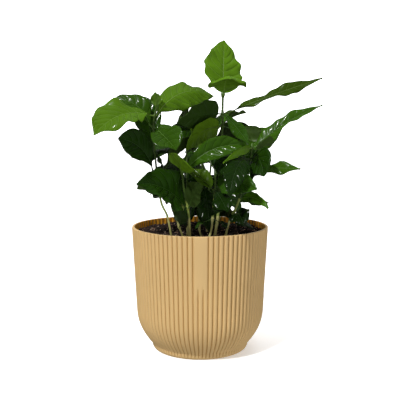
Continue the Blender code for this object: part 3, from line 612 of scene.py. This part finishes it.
@dataclass
class Blade:
    """The fine mesh of one leaf's blade: quilted between its veins, wavy at its margins."""
    leaf: Leaf
    start: np.ndarray
    rng: random.Random
    step: float = 1.0
    thickness: float = 0.34
    quilt: float = 0.85
    vein_spacing: float = 8.0
    vein_width: float = 0.5
    vein_slant: float = 0.19
    quilt_power: float = 0.6
    full_quilt_width: float = 24.0
    rib_clear: float = 0.6
    rib_fade: float = 2.5
    margin_fade: float = 0.18
    groove: float = 0.30
    groove_width: float = 0.9
    wave_power: float = 1.4
    ruffle_spacing: float = 17.0
    ruffle_height: float = 0.045
    ruffle_power: float = 2.4
    slow_ruffle: float = 0.57
    notch_depth: float = 0.022
    hem: float = 0.45
    hem_width: float = 0.8
    tip_half_width: float = 1.0
    twist_centre: float = 0.4
    phases: tuple[float, ...] = field(init=False)

    def __post_init__(self) -> None:
        """Draws the leaf's own phases, so that no two blades are the same."""
        self.phases = tuple(self.rng.random() for _ in range(8))

    def frames(self, shares: np.ndarray) -> tuple[np.ndarray, np.ndarray, np.ndarray]:
        """The midrib with its side and normal.

        Args:
            shares: Even shares of the blade's length.

        Returns:
            Points, sides and normals, each of shape (n, 3).
        """
        leaf = self.leaf
        flat_side = direction(leaf.heading + 90.0, 0.0)
        middle = 0.5 * (shares[1:] + shares[:-1])
        along, chords = (direction(leaf.heading, leaf.rise + leaf.droop * (0.5 - places))
                         for places in (shares, middle))
        steps = chords * (leaf.length * np.diff(shares))[:, None]
        points = np.vstack([np.zeros(3), np.cumsum(steps, axis=0)]) + self.start
        normal = np.cross(along, flat_side)
        roll = np.radians(leaf.roll + leaf.twist * (shares - self.twist_centre))[:, None]
        side = flat_side * np.cos(roll) + normal * np.sin(roll)
        return points, side, np.cross(along, side)

    def vein_rows(self) -> tuple[np.ndarray, np.ndarray, np.ndarray]:
        """Spaces the blade's rows so that each side vein has a narrow strip of its own.

        Returns:
            The rows' shares of the length, the height of the quilting at each row, and
            whether the strip after each row is a vein.
        """
        length = self.leaf.length
        count = max(3, round(length / self.vein_spacing))
        spacing = length / count
        between = max(4, round(spacing / self.step))
        half = 0.5 * self.vein_width
        places, heights, veins = [0.0], [0.0], [False]
        for vein in range(count):
            if vein > 0:
                places += [vein * spacing - half, vein * spacing + half]
                heights += [0.0, 0.0]
                veins += [True, False]
            for step in range(1, between):
                share = step / between
                places.append((vein + share) * spacing)
                heights.append(math.sin(math.pi * share) ** self.quilt_power)
                veins.append(False)
        places.append(length)
        return (np.array(places) / length, np.array([*heights, 0.0]), np.array(veins))

    def relief(self, share: np.ndarray, across: np.ndarray, half: np.ndarray,
               pillow: np.ndarray) -> np.ndarray:
        """Height of the blade over its midrib's plane.

        Args:
            share: Shares of the length, of shape (rows, columns).
            across: Places across, from -1 at the right margin to 1 at the left.
            half: Half widths, of shape (rows, columns).
            pillow: Height of the quilting between the side veins, of shape (rows, 1).

        Returns:
            Heights in millimetres, of shape (rows, columns).
        """
        leaf = self.leaf
        out = np.abs(across)
        left = across > 0.0
        swell = np.sqrt(np.clip(np.sin(np.pi * np.clip(share, 0.0, 1.0)), 0.0, 1.0))
        phase = np.where(left, 0.0, RULE.right_phase)
        wave = leaf.wave * swell * np.sin(2.0 * np.pi * (RULE.waves * share + phase))
        lift = out * half * math.sin(math.radians(leaf.fold)) + wave * out ** self.wave_power
        count = max(2.0, leaf.length / self.ruffle_spacing)
        side_phase = np.where(left, self.phases[0], self.phases[1])
        slow_phase = np.where(left, self.phases[2], self.phases[3])
        ruffle = (np.sin(2.0 * np.pi * (count * share + side_phase))
                  + 0.6 * np.sin(2.0 * np.pi * (self.slow_ruffle * count * share + slow_phase)))
        lift += self.ruffle_height * leaf.width * swell * ruffle * out ** self.ruffle_power
        inner = np.clip((out * half - self.rib_clear) / self.rib_fade, 0.0, 1.0)
        outer = np.clip((1.0 - out) / self.margin_fade, 0.0, 1.0)
        depth = self.quilt * min(1.0, leaf.width / self.full_quilt_width)
        lift += depth * pillow * inner * outer * swell
        lift -= self.hem * swell * np.exp(-((1.0 - out) * half / self.hem_width) ** 2)
        return lift - self.groove * np.exp(-((out * half) / self.groove_width) ** 2) * swell

    def surface(self, rows: np.ndarray, pillow: np.ndarray, columns: int
                ) -> tuple[np.ndarray, np.ndarray]:
        """The blade's middle surface, in rows that sweep forward along its side veins.

        Args:
            rows: The rows' shares of the length at the midrib.
            pillow: Height of the quilting at each row.
            columns: How many points a row has.

        Returns:
            Points and normals, each of shape (rows, columns, 3).
        """
        leaf = self.leaf
        across = np.linspace(-1.0, 1.0, columns)[None, :]
        slant = self.vein_slant * np.abs(across) ** 1.25 * leaf.width / (0.5 * leaf.length)
        share = rows[:, None]
        share = share + slant * 4.0 * share * (1.0 - share) ** 0.8
        share = np.clip(share, 0.0, 1.0)
        dense = np.linspace(0.0, 1.0, 4 * len(rows))
        points, side, normal = (
            np.stack([np.interp(share, dense, axis) for axis in line.T], axis=-1)
            for line in self.frames(dense))
        half = RULE.half_width(leaf, share)
        half[1:] = np.maximum(half[1:], self.tip_half_width)
        half[0] = RULE.stalk_radius * 0.6
        edge = np.where(across > 0.0, self.phases[6], self.phases[7])
        notch = 1.0 + self.notch_depth * np.sin(
            2.0 * np.pi * (1.3 * leaf.length / self.ruffle_spacing * share + edge))
        reach = across * half * notch * math.cos(math.radians(leaf.fold))
        lift = self.relief(share, across, half, pillow[:, None])
        return points + side * reach[..., None] + normal * lift[..., None], normal

    def add_to(self, batch: MeshBatch, palette: Palette) -> None:
        """Adds the blade, with its upper face, its underside and its edge.

        Args:
            batch: The piece that takes it.
            palette: The leaf finishes.
        """
        leaf = self.leaf
        rows, pillow, veins = self.vein_rows()
        columns = 2 * max(5, round(0.5 * leaf.width / (1.25 * self.step))) + 1
        surface, normal = self.surface(rows, pillow, columns)
        down = normal * (0.5 * self.thickness)
        dealt = self.rng.choice(TONE_SHADES)
        shade = leaf.shade or dealt
        face = palette.face(leaf.tone, shade)
        under = palette.under(leaf.tone, shade)
        upper = batch.add_grid(surface + down, face, flip=True)
        vein = batch.slot(palette.vein(leaf.tone, shade))
        batch.slots[-1][np.repeat(veins, columns - 1)] = vein
        lower = batch.add_grid(surface - down, under)
        rim = self.rim(len(rows), columns)
        after = np.roll(rim, -1)
        quads = np.stack([upper + rim, lower + rim, lower + after, upper + after], axis=-1)
        batch.add_faces(quads[:, ::-1], under)

    @staticmethod
    def rim(rows: int, columns: int) -> np.ndarray:
        """Numbers of a grid's border points, once round."""
        near = np.arange(columns)
        right = np.arange(1, rows) * columns + columns - 1
        far = (rows - 1) * columns + np.arange(columns - 2, -1, -1)
        left = np.arange(rows - 2, 0, -1) * columns
        return np.concatenate([near, right, far, left])


@dataclass
class Tube:
    """A round tube along points, with a radius and a flattening at each."""
    points: np.ndarray
    radii: np.ndarray
    sides: int = 10
    flatten: float = 1.0

    def grid(self, relief: np.ndarray | None = None) -> np.ndarray:
        """The tube's rings.

        Args:
            relief: What is added to the radius at each ring and side, if anything.

        Returns:
            Points of shape (rings, sides, 3).
        """
        along = np.gradient(self.points, axis=0)
        along /= np.linalg.norm(along, axis=1)[:, None]
        up = np.array([0.0, 0.0, 1.0])
        if abs(along[0, 2]) > 0.7:
            up = np.array([0.0, 1.0, 0.0])
        across = np.cross(along, up)
        across /= np.linalg.norm(across, axis=1)[:, None]
        other = np.cross(across, along)
        turn = 2.0 * np.pi * np.arange(self.sides) / self.sides
        radii = self.radii[:, None] + (0.0 if relief is None else relief)
        ring = (across[:, None, :] * np.cos(turn)[None, :, None]
                + other[:, None, :] * (self.flatten * np.sin(turn))[None, :, None])
        return self.points[:, None, :] + ring * radii[..., None]

    def add_to(self, batch: MeshBatch, material: bpy.types.Material,
               relief: np.ndarray | None = None) -> None:
        """Adds the tube with its two ends closed.

        Args:
            batch: The piece that takes it.
            material: The tube's material.
            relief: What is added to the radius at each ring and side, if anything.
        """
        grid = self.grid(relief)
        first = batch.add_grid(grid, material, closed=True)
        for ring in (0, len(self.points) - 1):
            batch.add_fan(first + ring * self.sides, self.sides, self.points[ring], material,
                          flip=ring == 0)


@dataclass
class Seedling:
    """One seedling: its stem, its stalks with the midribs, and its blades."""
    plan: SeedlingPlan
    palette: Palette
    barks: tuple[bpy.types.Material, ...]
    seed: int
    ring_step: float = 0.9
    stem_sides: int = 18
    path_steps: int = 400
    node_swell: float = 0.75
    node_length: float = 1.5
    scar_rise: float = 2.6
    scar_swell: float = 0.25
    scar_length: float = 0.7
    fibre: float = 0.05
    fibre_lobes: tuple[int, ...] = (3, 5, 8)
    fibre_drift: tuple[float, float] = (0.02, 0.06)
    fibre_fade: float = 0.4
    fibre_wave: float = 0.9
    foot_spread: float = 0.3
    bark_heights: tuple[float, ...] = (140.0, 158.0)
    sunk: float = 2.5
    bud_length: float = 5.0
    bud_sunk: float = 0.6
    bud_swell: float = 1.25
    bud_start: float = 0.25
    bud_power: float = 0.8
    bud_point: float = 0.08
    bud_rings: int = 9
    stalk_root: float = 0.4
    stalk_bend: float = 2.4
    stalk_rings: int = 8
    stalk_sides: int = 8
    least_share: float = 0.45
    full_length: float = 90.0
    neck_swell: float = 0.45
    neck_length: float = 0.25
    neck_taper: float = 0.22
    rib_end: float = 0.10
    rib_start: float = 0.72
    rib_power: float = 1.3
    rib_sunk: float = 0.62
    rib_reach: float = 0.96
    rib_step: float = 1.6

    def path_point(self, share: float) -> np.ndarray:
        """A point on the smooth curve through the plan's points."""
        places = np.array(self.plan.path)
        span = share * (len(places) - 1)
        index = min(int(span), len(places) - 2)
        local = span - index
        before, first, second, after = places[
            np.clip(np.arange(index - 1, index + 3), 0, len(places) - 1)]
        return 0.5 * ((2.0 * first) + (second - before) * local
                      + (2.0 * before - 5.0 * first + 4.0 * second - after) * local ** 2
                      + (3.0 * first - before - 3.0 * second + after) * local ** 3)

    def radius(self, height: float) -> float:
        """The stem's even taper, without its nodes."""
        foot, tip = self.plan.path[0][2], self.plan.path[-1][2]
        share = min(1.0, max(0.0, (height - foot) / (tip - foot)))
        return self.plan.foot_radius + (self.plan.tip_radius - self.plan.foot_radius) * share

    def centre_at(self, height: float) -> np.ndarray:
        """The stem's centre at a height."""
        places = [self.path_point(step / self.path_steps) for step in range(self.path_steps + 1)]
        return min(places, key=lambda place: abs(place[2] - height))

    def build_stem(self) -> bpy.types.Object:
        """Builds the stem: swollen at each node, with fine fibres along it.

        Returns:
            The stem's piece.
        """
        rng = random.Random(self.seed)
        length = self.plan.path[-1][2] - self.plan.path[0][2]
        count = max(12, round(length / self.ring_step))
        points = np.array([self.path_point(step / count) for step in range(count + 1)])
        below = points[0] - np.array([0.0, 0.0, self.sunk])
        points = np.vstack([below, points])
        heights = points[:, 2]
        radii = np.array([self.radius(height) for height in heights])
        for whorl in self.plan.whorls:
            above = heights - whorl.height
            radii += self.node_swell * np.exp(-(above / self.node_length) ** 2)
            radii += self.scar_swell * np.exp(-((above - self.scar_rise) / self.scar_length) ** 2)
        radii[0] += self.foot_spread
        turn = 2.0 * np.pi * np.arange(self.stem_sides) / self.stem_sides
        relief = np.zeros((len(points), self.stem_sides))
        for lobes in self.fibre_lobes:
            phase = rng.uniform(0.0, 6.0)
            drift = rng.uniform(*self.fibre_drift)
            relief += self.fibre * np.sin(lobes * turn[None, :] + phase
                                          + drift * heights[:, None])
        relief *= 1.0 - self.fibre_fade + self.fibre_fade * np.sin(
            self.fibre_wave * heights)[:, None]
        batch = MeshBatch()
        ends = [0, *(int(np.searchsorted(heights, top)) for top in self.bark_heights),
                len(points) - 1]
        for bark, first, last in zip(self.barks, ends, ends[1:]):
            if last - first > 1:
                Tube(points[first:last + 1], radii[first:last + 1], self.stem_sides).add_to(
                    batch, bark, relief[first:last + 1])
        self.add_bud(batch, points[-1], points[-1] - points[-4], radii[-1])
        return batch.build(self.plan.name + "_stem")

    def add_bud(self, batch: MeshBatch, tip: np.ndarray, along: np.ndarray,
                radius: float) -> None:
        """Adds the pointed bud in which the stem ends.

        Args:
            batch: The piece that takes it.
            tip: The stem's tip.
            along: The way the stem runs there.
            radius: The stem's radius there.
        """
        along = along / np.linalg.norm(along)
        shares = np.linspace(0.0, 1.0, self.bud_rings)
        points = tip + along * (self.bud_length * shares - self.bud_sunk)[:, None]
        reach = np.clip(self.bud_start + (1.0 - self.bud_start) * shares, 0.0, 1.0)
        swell = np.sin(np.pi * reach) ** self.bud_power
        radii = np.maximum(self.bud_point, self.bud_swell * radius * swell)
        Tube(points, radii, 10).add_to(batch, self.palette.rib(Tone.FRESH))

    def build_leaves(self) -> tuple[bpy.types.Object, bpy.types.Object]:
        """Builds the blades, and the stalks with their midribs.

        Returns:
            The piece of blades and the piece of stalks.
        """
        rng = random.Random(1000 + self.seed)
        blades = MeshBatch()
        stalks = MeshBatch()
        for whorl in self.plan.whorls:
            centre = self.centre_at(whorl.height)
            radius = self.radius(centre[2])
            for leaf in whorl.leaves:
                start = RULE.blade_start(leaf, centre, radius)
                blade = Blade(leaf, start, rng)
                blade.add_to(blades, self.palette)
                self.add_stalk(stalks, blade, centre)
        return (blades.build(self.plan.name + "_blades", 60.0),
                stalks.build(self.plan.name + "_stalks"))

    def add_stalk(self, batch: MeshBatch, blade: Blade, centre: np.ndarray) -> None:
        """Adds a leaf's stalk, which runs on as its tapering midrib.

        Args:
            batch: The piece that takes it.
            blade: The leaf's blade.
            centre: The stem's centre at the whorl.
        """
        leaf = blade.leaf
        shares = np.linspace(0.0, self.rib_reach, max(12, round(leaf.length / self.rib_step)))
        points, _, normal = blade.frames(shares)
        start = points[0]
        outward = direction(leaf.heading, 0.0)
        root, bend = centre + outward * self.stalk_root, centre + outward * self.stalk_bend
        turns = np.linspace(0.0, 1.0, self.stalk_rings, endpoint=False)[:, None]
        neck = ((1.0 - turns) ** 2 * root + 2.0 * turns * (1.0 - turns) * bend
                + turns ** 2 * start)
        size = min(1.0, self.least_share + leaf.length / self.full_length)
        thin = RULE.stalk_radius * size
        ribs = self.rib_end + (self.rib_start * thin - self.rib_end) * (
            1.0 - shares) ** self.rib_power
        points = points - normal * (self.rib_sunk * ribs)[:, None]
        swell = self.neck_swell * np.exp(-(turns[:, 0] / self.neck_length) ** 2)
        neck_radii = thin * (1.0 + swell) * (1.0 - self.neck_taper * turns[:, 0])
        shift = np.linspace(0.0, 1.0, len(neck))[:, None] ** 2
        neck = neck + (points[0] - start) * shift
        line = np.vstack([neck, points])
        radii = np.concatenate([neck_radii, ribs])
        Tube(line, radii, self.stalk_sides).add_to(batch, self.palette.rib(leaf.tone))

    def dress(self) -> None:
        """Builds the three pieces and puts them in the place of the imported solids."""
        stem = self.build_stem()
        blades, stalks = self.build_leaves()
        masses = ["leaves_%s_%s" % (self.plan.name, whorl.name) for whorl in self.plan.whorls]
        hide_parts("stem_" + self.plan.name)
        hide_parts(*masses)
        for piece, slot in ((stem, "green_stem"), (blades, "coffee_leaf"),
                            (stalks, "coffee_leaf")):
            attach(piece, BODY)


@dataclass
class CoverPot:
    """The cover pot: broad rounded ribs with narrow grooves, a smooth strip in front."""
    wall: float = 3.0
    ribs: int = 86
    rib_depth: float = 1.6
    rib_power: float = 2.8
    inner_rib_depth: float = 1.0
    rib_phase: float = -91.6
    strip_grooves: int = 2
    strip_bottom: float = 74.0
    strip_fade: float = 5.0
    foot_top: float = 1.5
    floor: float = 4.0
    corners: tuple[float, ...] = (0.0, 0.06, 0.13, 0.21, 0.31, 0.42, 0.58, 0.69, 0.79, 0.87, 0.94)

    def outer_profile(self) -> list[tuple[float, float, float]]:
        """Radius, height and rib strength of the outside, from its underside to its rim."""
        foot = [(30.0, 0.0, 0.0), (46.4, 0.0, 0.0), (47.5, 0.25, 0.1), (48.5, 0.9, 0.3),
                (49.2, 1.9, 0.5), (49.7, 3.2, 0.6), (49.95, 4.6, 0.7), (50.1, 5.8, 0.8)]
        heights = [6.6 + 2.0 * step for step in range(19)]
        heights += [46.0 + 5.0 * step for step in range(16)]
        wall = [(wall_radius(height), height, 1.0) for height in heights]
        top = wall_radius(RIM_HEIGHT)
        lip = [(top - 0.05, RIM_HEIGHT - 1.3, 1.0), (top - 0.1, RIM_HEIGHT - 0.8, 0.85),
               (top - 0.25, RIM_HEIGHT - 0.2, 0.5), (top - 0.6, RIM_HEIGHT, 0.2)]
        return foot + wall + lip

    def inner_profile(self) -> list[tuple[float, float, float]]:
        """The same for the inside, from its rim to its floor."""
        top = wall_radius(RIM_HEIGHT) - self.wall
        lip = [(top + 0.3, RIM_HEIGHT, 0.2), (top + 0.1, RIM_HEIGHT - 0.3, 0.5),
               (top, RIM_HEIGHT - 1.0, 1.0)]
        heights = [124.0, 122.0, 120.0, 117.0, 112.0, 100.0, 70.0, 42.0, 30.0, 20.0, 11.0]
        wall = [(wall_radius(height) - self.wall, height, 1.0) for height in heights]
        bottom = wall_radius(self.floor) - 2.0 * self.wall
        return lip + wall + [(bottom, self.floor, 0.0), (20.0, self.floor, 0.0)]

    def grid(self) -> np.ndarray:
        """The wall's points.

        Returns:
            Points of shape (rings, corners, 3).
        """
        shares = np.array([(rib + corner) / self.ribs for rib in range(self.ribs)
                           for corner in self.corners])
        angles = np.radians(self.rib_phase) + 2.0 * np.pi * shares
        across = np.tile(np.array(self.corners), self.ribs)
        near = np.abs(2.0 * across - 1.0) ** self.rib_power
        groove = np.round(shares * self.ribs).astype(int) % self.ribs
        on_strip = groove < self.strip_grooves
        rings = []
        outer = self.outer_profile()
        for number, (radius, height, strength) in enumerate(outer + self.inner_profile()):
            keep = np.ones(len(angles))
            if number < len(outer):
                fade = min(1.0, max(0.0, (self.strip_bottom - height) / self.strip_fade))
                keep[on_strip] = fade
                reach = radius - self.rib_depth * strength * near * keep
            else:
                reach = radius + self.inner_rib_depth * strength * near
            rings.append(np.stack([reach * np.cos(angles), reach * np.sin(angles),
                                   np.full(len(angles), height)], axis=-1))
        return np.array(rings)

    def face_slots(self, grid: np.ndarray, groove: int, inner_painted_bounce: int,
                   inner_rib_painted_shade: int) -> np.ndarray:
        """Sorts the wall's faces into ridges, grooves with painted shade, and the inside with painted warm
        bounce light and painted shade on its ribs.

        Args:
            grid: The wall's points.
            groove: The material slot of a groove's bottom, painted darker as shade.
            inner_painted_bounce: The material slot of the inside, whose warmer colour is painted bounce
                light.
            inner_rib_painted_shade: The material slot of the painted shade on a band in the middle of each
                rib on the inside.

        Returns:
            The slot of each face, ring by ring.
        """
        rings, columns = grid.shape[0] - 1, grid.shape[1]
        corner = np.arange(columns) % len(self.corners)
        rib = np.arange(columns) // len(self.corners)
        low = (corner == 0) | (corner == len(self.corners) - 1)
        beside = np.where(corner == 0, rib, (rib + 1) % self.ribs)
        strip = beside < self.strip_grooves
        slots = np.zeros((rings, columns), dtype=np.int32)
        outer = len(self.outer_profile())
        for ring in range(rings):
            if ring >= outer:
                # The inside takes a warmer colour: painted bounce light on the same plastic.
                slots[ring] = inner_painted_bounce
                # Painted shade: a darker band in the middle of each rib on the inside.
                slots[ring, (corner > 3) & (corner < 7)] = inner_rib_painted_shade
                continue
            height = grid[ring, 0, 2]
            ribbed = self.foot_top < height < RIM_HEIGHT - 1.0
            # Groove bottoms take a darker colour: painted shade in the grooves.
            slots[ring, low & (ribbed & (~strip | (height < self.strip_bottom)))] = groove
        return slots.reshape(-1)

    @staticmethod
    def finish(name: str, colour: tuple[float, float, float]) -> bpy.types.Material:
        """Makes the pot's matt plastic in one colour."""
        return Finish(name, colour, 0.50, mottle=0.035, mottle_scale=25.0, grain=0.12,
                      grain_scale=1500.0, roughness_change=0.05, specular=0.3).make()

    def dress(self) -> None:
        """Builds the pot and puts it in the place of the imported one."""
        ridge = self.finish("sand_plastic", (0.655, 0.440, 0.192))
        # The grooves' darker colour is painted shade on the same plastic.
        groove = self.finish("sand_plastic_groove_painted_shade", (0.420, 0.225, 0.055))
        # The inside's warmer colour is painted bounce light, and its darker rib bands are painted shade.
        inner_painted_bounce = self.finish("sand_plastic_lining", (0.850, 0.390, 0.025))
        inner_rib_painted_shade = self.finish("sand_plastic_lining_groove", (0.360, 0.160, 0.025))
        batch = MeshBatch()
        grid = self.grid()
        first = batch.add_grid(grid, ridge, closed=True)
        batch.slots[-1] = self.face_slots(grid, batch.slot(groove), batch.slot(inner_painted_bounce),
                                          batch.slot(inner_rib_painted_shade))
        count = grid.shape[1]
        for ring in (0, grid.shape[0] - 1):
            centre = np.array([0.0, 0.0, grid[ring, 0, 2]])
            batch.add_fan(first + ring * count, count, centre, ridge, flip=ring == 0)
        pot = batch.build("ribbed_pot", 75.0)
        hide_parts("pot")
        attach(pot, BODY)


@dataclass(frozen=True)
class Crumb:
    """A kind of crumb: its finish, the draws below which it comes, its sizes, its stretch."""
    finish: Finish
    limit: float
    sizes: tuple[float, float]
    stretch: float = 1.2


@dataclass
class PottingSoil:
    """The soil: a lumpy surface with loose crumbs of peat, fibre and pale grit."""
    reach: float = 66.2
    bottom: float = 8.0
    side_heights: tuple[float, ...] = (16.0, 30.0, 60.0)
    wall_clear: float = 4.5
    rings: int = 60
    spokes: int = 200
    lump: float = 1.8
    lump_layers: tuple[tuple[float, float, float], ...] = (
        (14.0, 0.5, 0.7), (3.2, 7.5, 0.6), (1.3, 3.5, 0.35))
    crumbs: int = 2400
    seed: int = 7
    peat: Finish = Finish("peat", (0.010, 0.006, 0.004), 0.92, mottle=0.6, mottle_scale=350.0,
                          grain=0.8, grain_scale=1400.0, specular=0.3)
    kinds: tuple[Crumb, ...] = (
        Crumb(Finish("peat_crumb", (0.020, 0.011, 0.008), 0.9, mottle=0.5, mottle_scale=250.0,
                     grain=0.6, specular=0.3), 0.72, (0.45, 1.5)),
        Crumb(Finish("brown_fibre", (0.20, 0.11, 0.07), 0.85, mottle=0.3, mottle_scale=250.0,
                     grain=0.4), 0.87, (0.35, 0.9), 2.2),
        Crumb(Finish("pale_grit", (0.52, 0.38, 0.27), 0.7, mottle=0.2, mottle_scale=300.0,
                     grain=0.3), 1.0, (0.35, 0.9)))

    def height(self, x: float, y: float) -> float:
        """The surface's height at a place, from layers of a lump size, a seed and a share."""
        return SOIL_TOP + self.lump * sum(
            share * noise.noise(Vector((x / size, y / size, layer)))
            for size, layer, share in self.lump_layers)

    def build_surface(self) -> bpy.types.Object:
        """Builds the body of soil with its lumpy top.

        Returns:
            The soil's piece.
        """
        rows = []
        for ring in range(self.rings + 1):
            radius = self.reach * (1.0 - ring / self.rings)
            row = []
            for spoke in range(self.spokes):
                angle = 2.0 * math.pi * spoke / self.spokes
                x, y = radius * math.cos(angle), radius * math.sin(angle)
                row.append((x, y, self.height(x, y)))
            rows.append(row)
        top = np.array(rows)
        sides = []
        for height in (self.bottom, *self.side_heights):
            ring = top[0].copy()
            scale = (wall_radius(height) - self.wall_clear) / self.reach
            ring[:, :2] *= scale
            ring[:, 2] = height
            sides.append(ring)
        floor = sides[0].copy()
        floor[:, :2] *= 0.02
        grid = np.concatenate([np.array([floor] + sides), top])
        batch = MeshBatch()
        batch.add_grid(grid, self.peat.make(), closed=True)
        return batch.build("soil_bed", 70.0)

    def build_crumbs(self) -> bpy.types.Object:
        """Builds the loose crumbs, each a small uneven lump.

        Returns:
            The crumbs' piece.
        """
        rng = random.Random(self.seed)
        batch = MeshBatch()
        corners, faces = self.lump_mesh()
        materials = {kind: kind.finish.make() for kind in self.kinds}
        for _ in range(self.crumbs):
            radius = (self.reach - 2.0) * math.sqrt(rng.random())
            angle = rng.uniform(0.0, 2.0 * math.pi)
            x, y = radius * math.cos(angle), radius * math.sin(angle)
            draw = rng.random()
            kind = next(kind for kind in self.kinds if draw < kind.limit)
            size = rng.uniform(*kind.sizes)
            turn = rng.uniform(0.0, 2.0 * math.pi)
            spread = np.array([[rng.uniform(0.75, 1.25)] for _ in corners])
            shape = corners * spread * size * np.array([kind.stretch, 1.0, 0.8])
            spin = np.array([[math.cos(turn), -math.sin(turn), 0.0],
                             [math.sin(turn), math.cos(turn), 0.0], [0.0, 0.0, 1.0]])
            place = np.array([x, y, self.height(x, y) + 0.35 * size])
            first = batch.add_points(shape @ spin.T + place)
            batch.add_faces(faces + first, materials[kind])
        return batch.build("soil_crumbs", 35.0)

    @staticmethod
    def lump_mesh() -> tuple[np.ndarray, np.ndarray]:
        """Corners and faces of a round lump.

        Returns:
            The lump's twelve corners and its twenty triangles.
        """
        golden = (1.0 + math.sqrt(5.0)) / 2.0
        corners = []
        for first in (-1.0, 1.0):
            for second in (-golden, golden):
                corners += [(0.0, first, second), (first, second, 0.0), (second, 0.0, first)]
        points = np.array(corners) / math.sqrt(1.0 + golden ** 2)
        faces = []
        for a in range(12):
            for b in range(a + 1, 12):
                for c in range(b + 1, 12):
                    trio = points[[a, b, c]]
                    gaps = np.linalg.norm(trio - np.roll(trio, 1, axis=0), axis=1)
                    if gaps.max() < 1.1:
                        outward = np.dot(np.cross(trio[1] - trio[0], trio[2] - trio[0]), trio[0])
                        faces.append((a, b, c) if outward > 0.0 else (a, c, b))
        return points, np.array(faces)

    def dress(self) -> None:
        """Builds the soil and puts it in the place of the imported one."""
        bed = self.build_surface()
        crumbs = self.build_crumbs()
        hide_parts("soil")
        for piece in (bed, crumbs):
            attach(piece, BODY)


@dataclass(frozen=True)
class SoftLight:
    """A large far light: where it shines from, how wide it looks and how strong it is."""
    name: str
    place: tuple[float, float, float]
    spread: float
    strength: float
    glints: bool = False

    def build(self) -> None:
        """Adds the light, turned to the middle of the plant."""
        data = bpy.data.lights.new(self.name, "SUN")
        data.angle = math.radians(self.spread)
        data.energy = self.strength
        light = bpy.data.objects.new(self.name, data)
        light.location = self.place
        light.visible_glossy = self.glints
        light.rotation_euler = Vector(self.place).to_track_quat("Z", "Y").to_euler()
        bpy.context.scene.collection.objects.link(light)


@dataclass
class Studio:
    """The white floor and backdrop, the soft lights and the camera."""
    camera_place: tuple[float, float, float] = (0.0, -0.70, 0.236)
    camera_tilt: float = 6.75
    lens: float = 61.7
    room_light: float = 0.11
    room_sides: int = 64
    floor_half: float = 6.0
    floor_glow: float = 0.37
    backdrop_height: float = 6.0
    backdrop_glow: float = 1.2
    lights: tuple[SoftLight, ...] = (
        SoftLight("key_light", (-0.5, -0.62, 0.95), 6.0, 2.8, glints=True),
        SoftLight("front_light", (0.45, -1.0, -0.12), 60.0, 1.2),
        SoftLight("top_light", (0.05, 0.30, 0.95), 45.0, 1.2),
        SoftLight("rear_light", (0.5, 1.0, 0.25), 70.0, 2.2),
        SoftLight("side_light", (-1.0, 0.45, 0.30), 60.0, 0.9),
        SoftLight("floor_bounce", (-0.1, -0.7, -0.7), 70.0, 0.7),
    )

    def build_camera(self) -> None:
        """Puts the camera where the photograph was taken from."""
        data = bpy.data.cameras.new("studio_camera")
        data.lens = self.lens
        data.sensor_width = 36.0
        data.clip_start = 0.01
        data.clip_end = 50.0
        camera = bpy.data.objects.new("studio_camera", data)
        camera.location = self.camera_place
        camera.rotation_euler = (math.radians(90.0 - self.camera_tilt), 0.0, 0.0)
        bpy.context.scene.collection.objects.link(camera)
        bpy.context.scene.camera = camera

    def build_room(self) -> None:
        """Lays the white floor, with a round white backdrop that stands on its edge."""
        turns = 2.0 * np.pi * np.arange(self.room_sides) / self.room_sides
        ring = np.stack([np.cos(turns), np.sin(turns), np.zeros_like(turns)], axis=-1)
        ring *= self.floor_half / MM
        top = ring + np.array([0.0, 0.0, self.backdrop_height / MM])
        floor, backdrop = MeshBatch(), MeshBatch()
        floor.add_fan(floor.add_points(ring), self.room_sides, np.zeros(3),
                      self.white("studio_floor_paint", self.floor_glow))
        backdrop.add_grid(np.array([ring, top]),
                          self.white("studio_backdrop_paint", self.backdrop_glow),
                          closed=True, flip=True)
        for piece in (floor.build("studio_floor"), backdrop.build("studio_backdrop")):
            piece.visible_diffuse = False
            piece.visible_glossy = False
            piece.visible_shadow = False

    @staticmethod
    def white(name: str, glow: float) -> bpy.types.Material:
        """Makes a matt white paint that glows, as an overexposed studio does.

        Args:
            name: The material's name.
            glow: How strongly it glows.

        Returns:
            The material.
        """
        material = bpy.data.materials.new(name)
        material.use_nodes = True
        shader = material.node_tree.nodes["Principled BSDF"]
        shader.inputs["Base Color"].default_value = (0.9, 0.9, 0.9, 1.0)
        shader.inputs["Roughness"].default_value = 0.9
        shader.inputs["Specular IOR Level"].default_value = 0.0
        shader.inputs["Emission Color"].default_value = (1.0, 1.0, 1.0, 1.0)
        shader.inputs["Emission Strength"].default_value = glow
        return material

    def build_world(self) -> None:
        """Fills the room with even white light."""
        world = bpy.data.worlds.new("studio_world")
        world.use_nodes = True
        back = world.node_tree.nodes["Background"]
        back.inputs["Color"].default_value = (1.0, 1.0, 1.0, 1.0)
        back.inputs["Strength"].default_value = self.room_light
        bpy.context.scene.world = world

    def build(self) -> None:
        """Builds the studio."""
        scene = bpy.context.scene
        scene.view_settings.view_transform = "Standard"
        scene.view_settings.look = "None"
        self.build_camera()
        self.build_room()
        self.build_world()
        for light in self.lights:
            light.build()


def main() -> None:
    """Builds the studio, the pot, the soil and every seedling."""
    logging.basicConfig(level=logging.INFO, format="%(name)s %(message)s")
    Studio().build()
    CoverPot().dress()
    PottingSoil().dress()
    palette = Palette()
    barks = tuple(Finish(name, colour, 0.45, mottle=0.2, mottle_scale=150.0, grain=0.22,
                         roughness_change=0.05).make() for name, colour in STEM_COLOURS)
    for number, plan in enumerate(SEEDLINGS):
        Seedling(plan, palette, barks, seed=number + 1).dress()


if __name__ == "__main__":
    main()
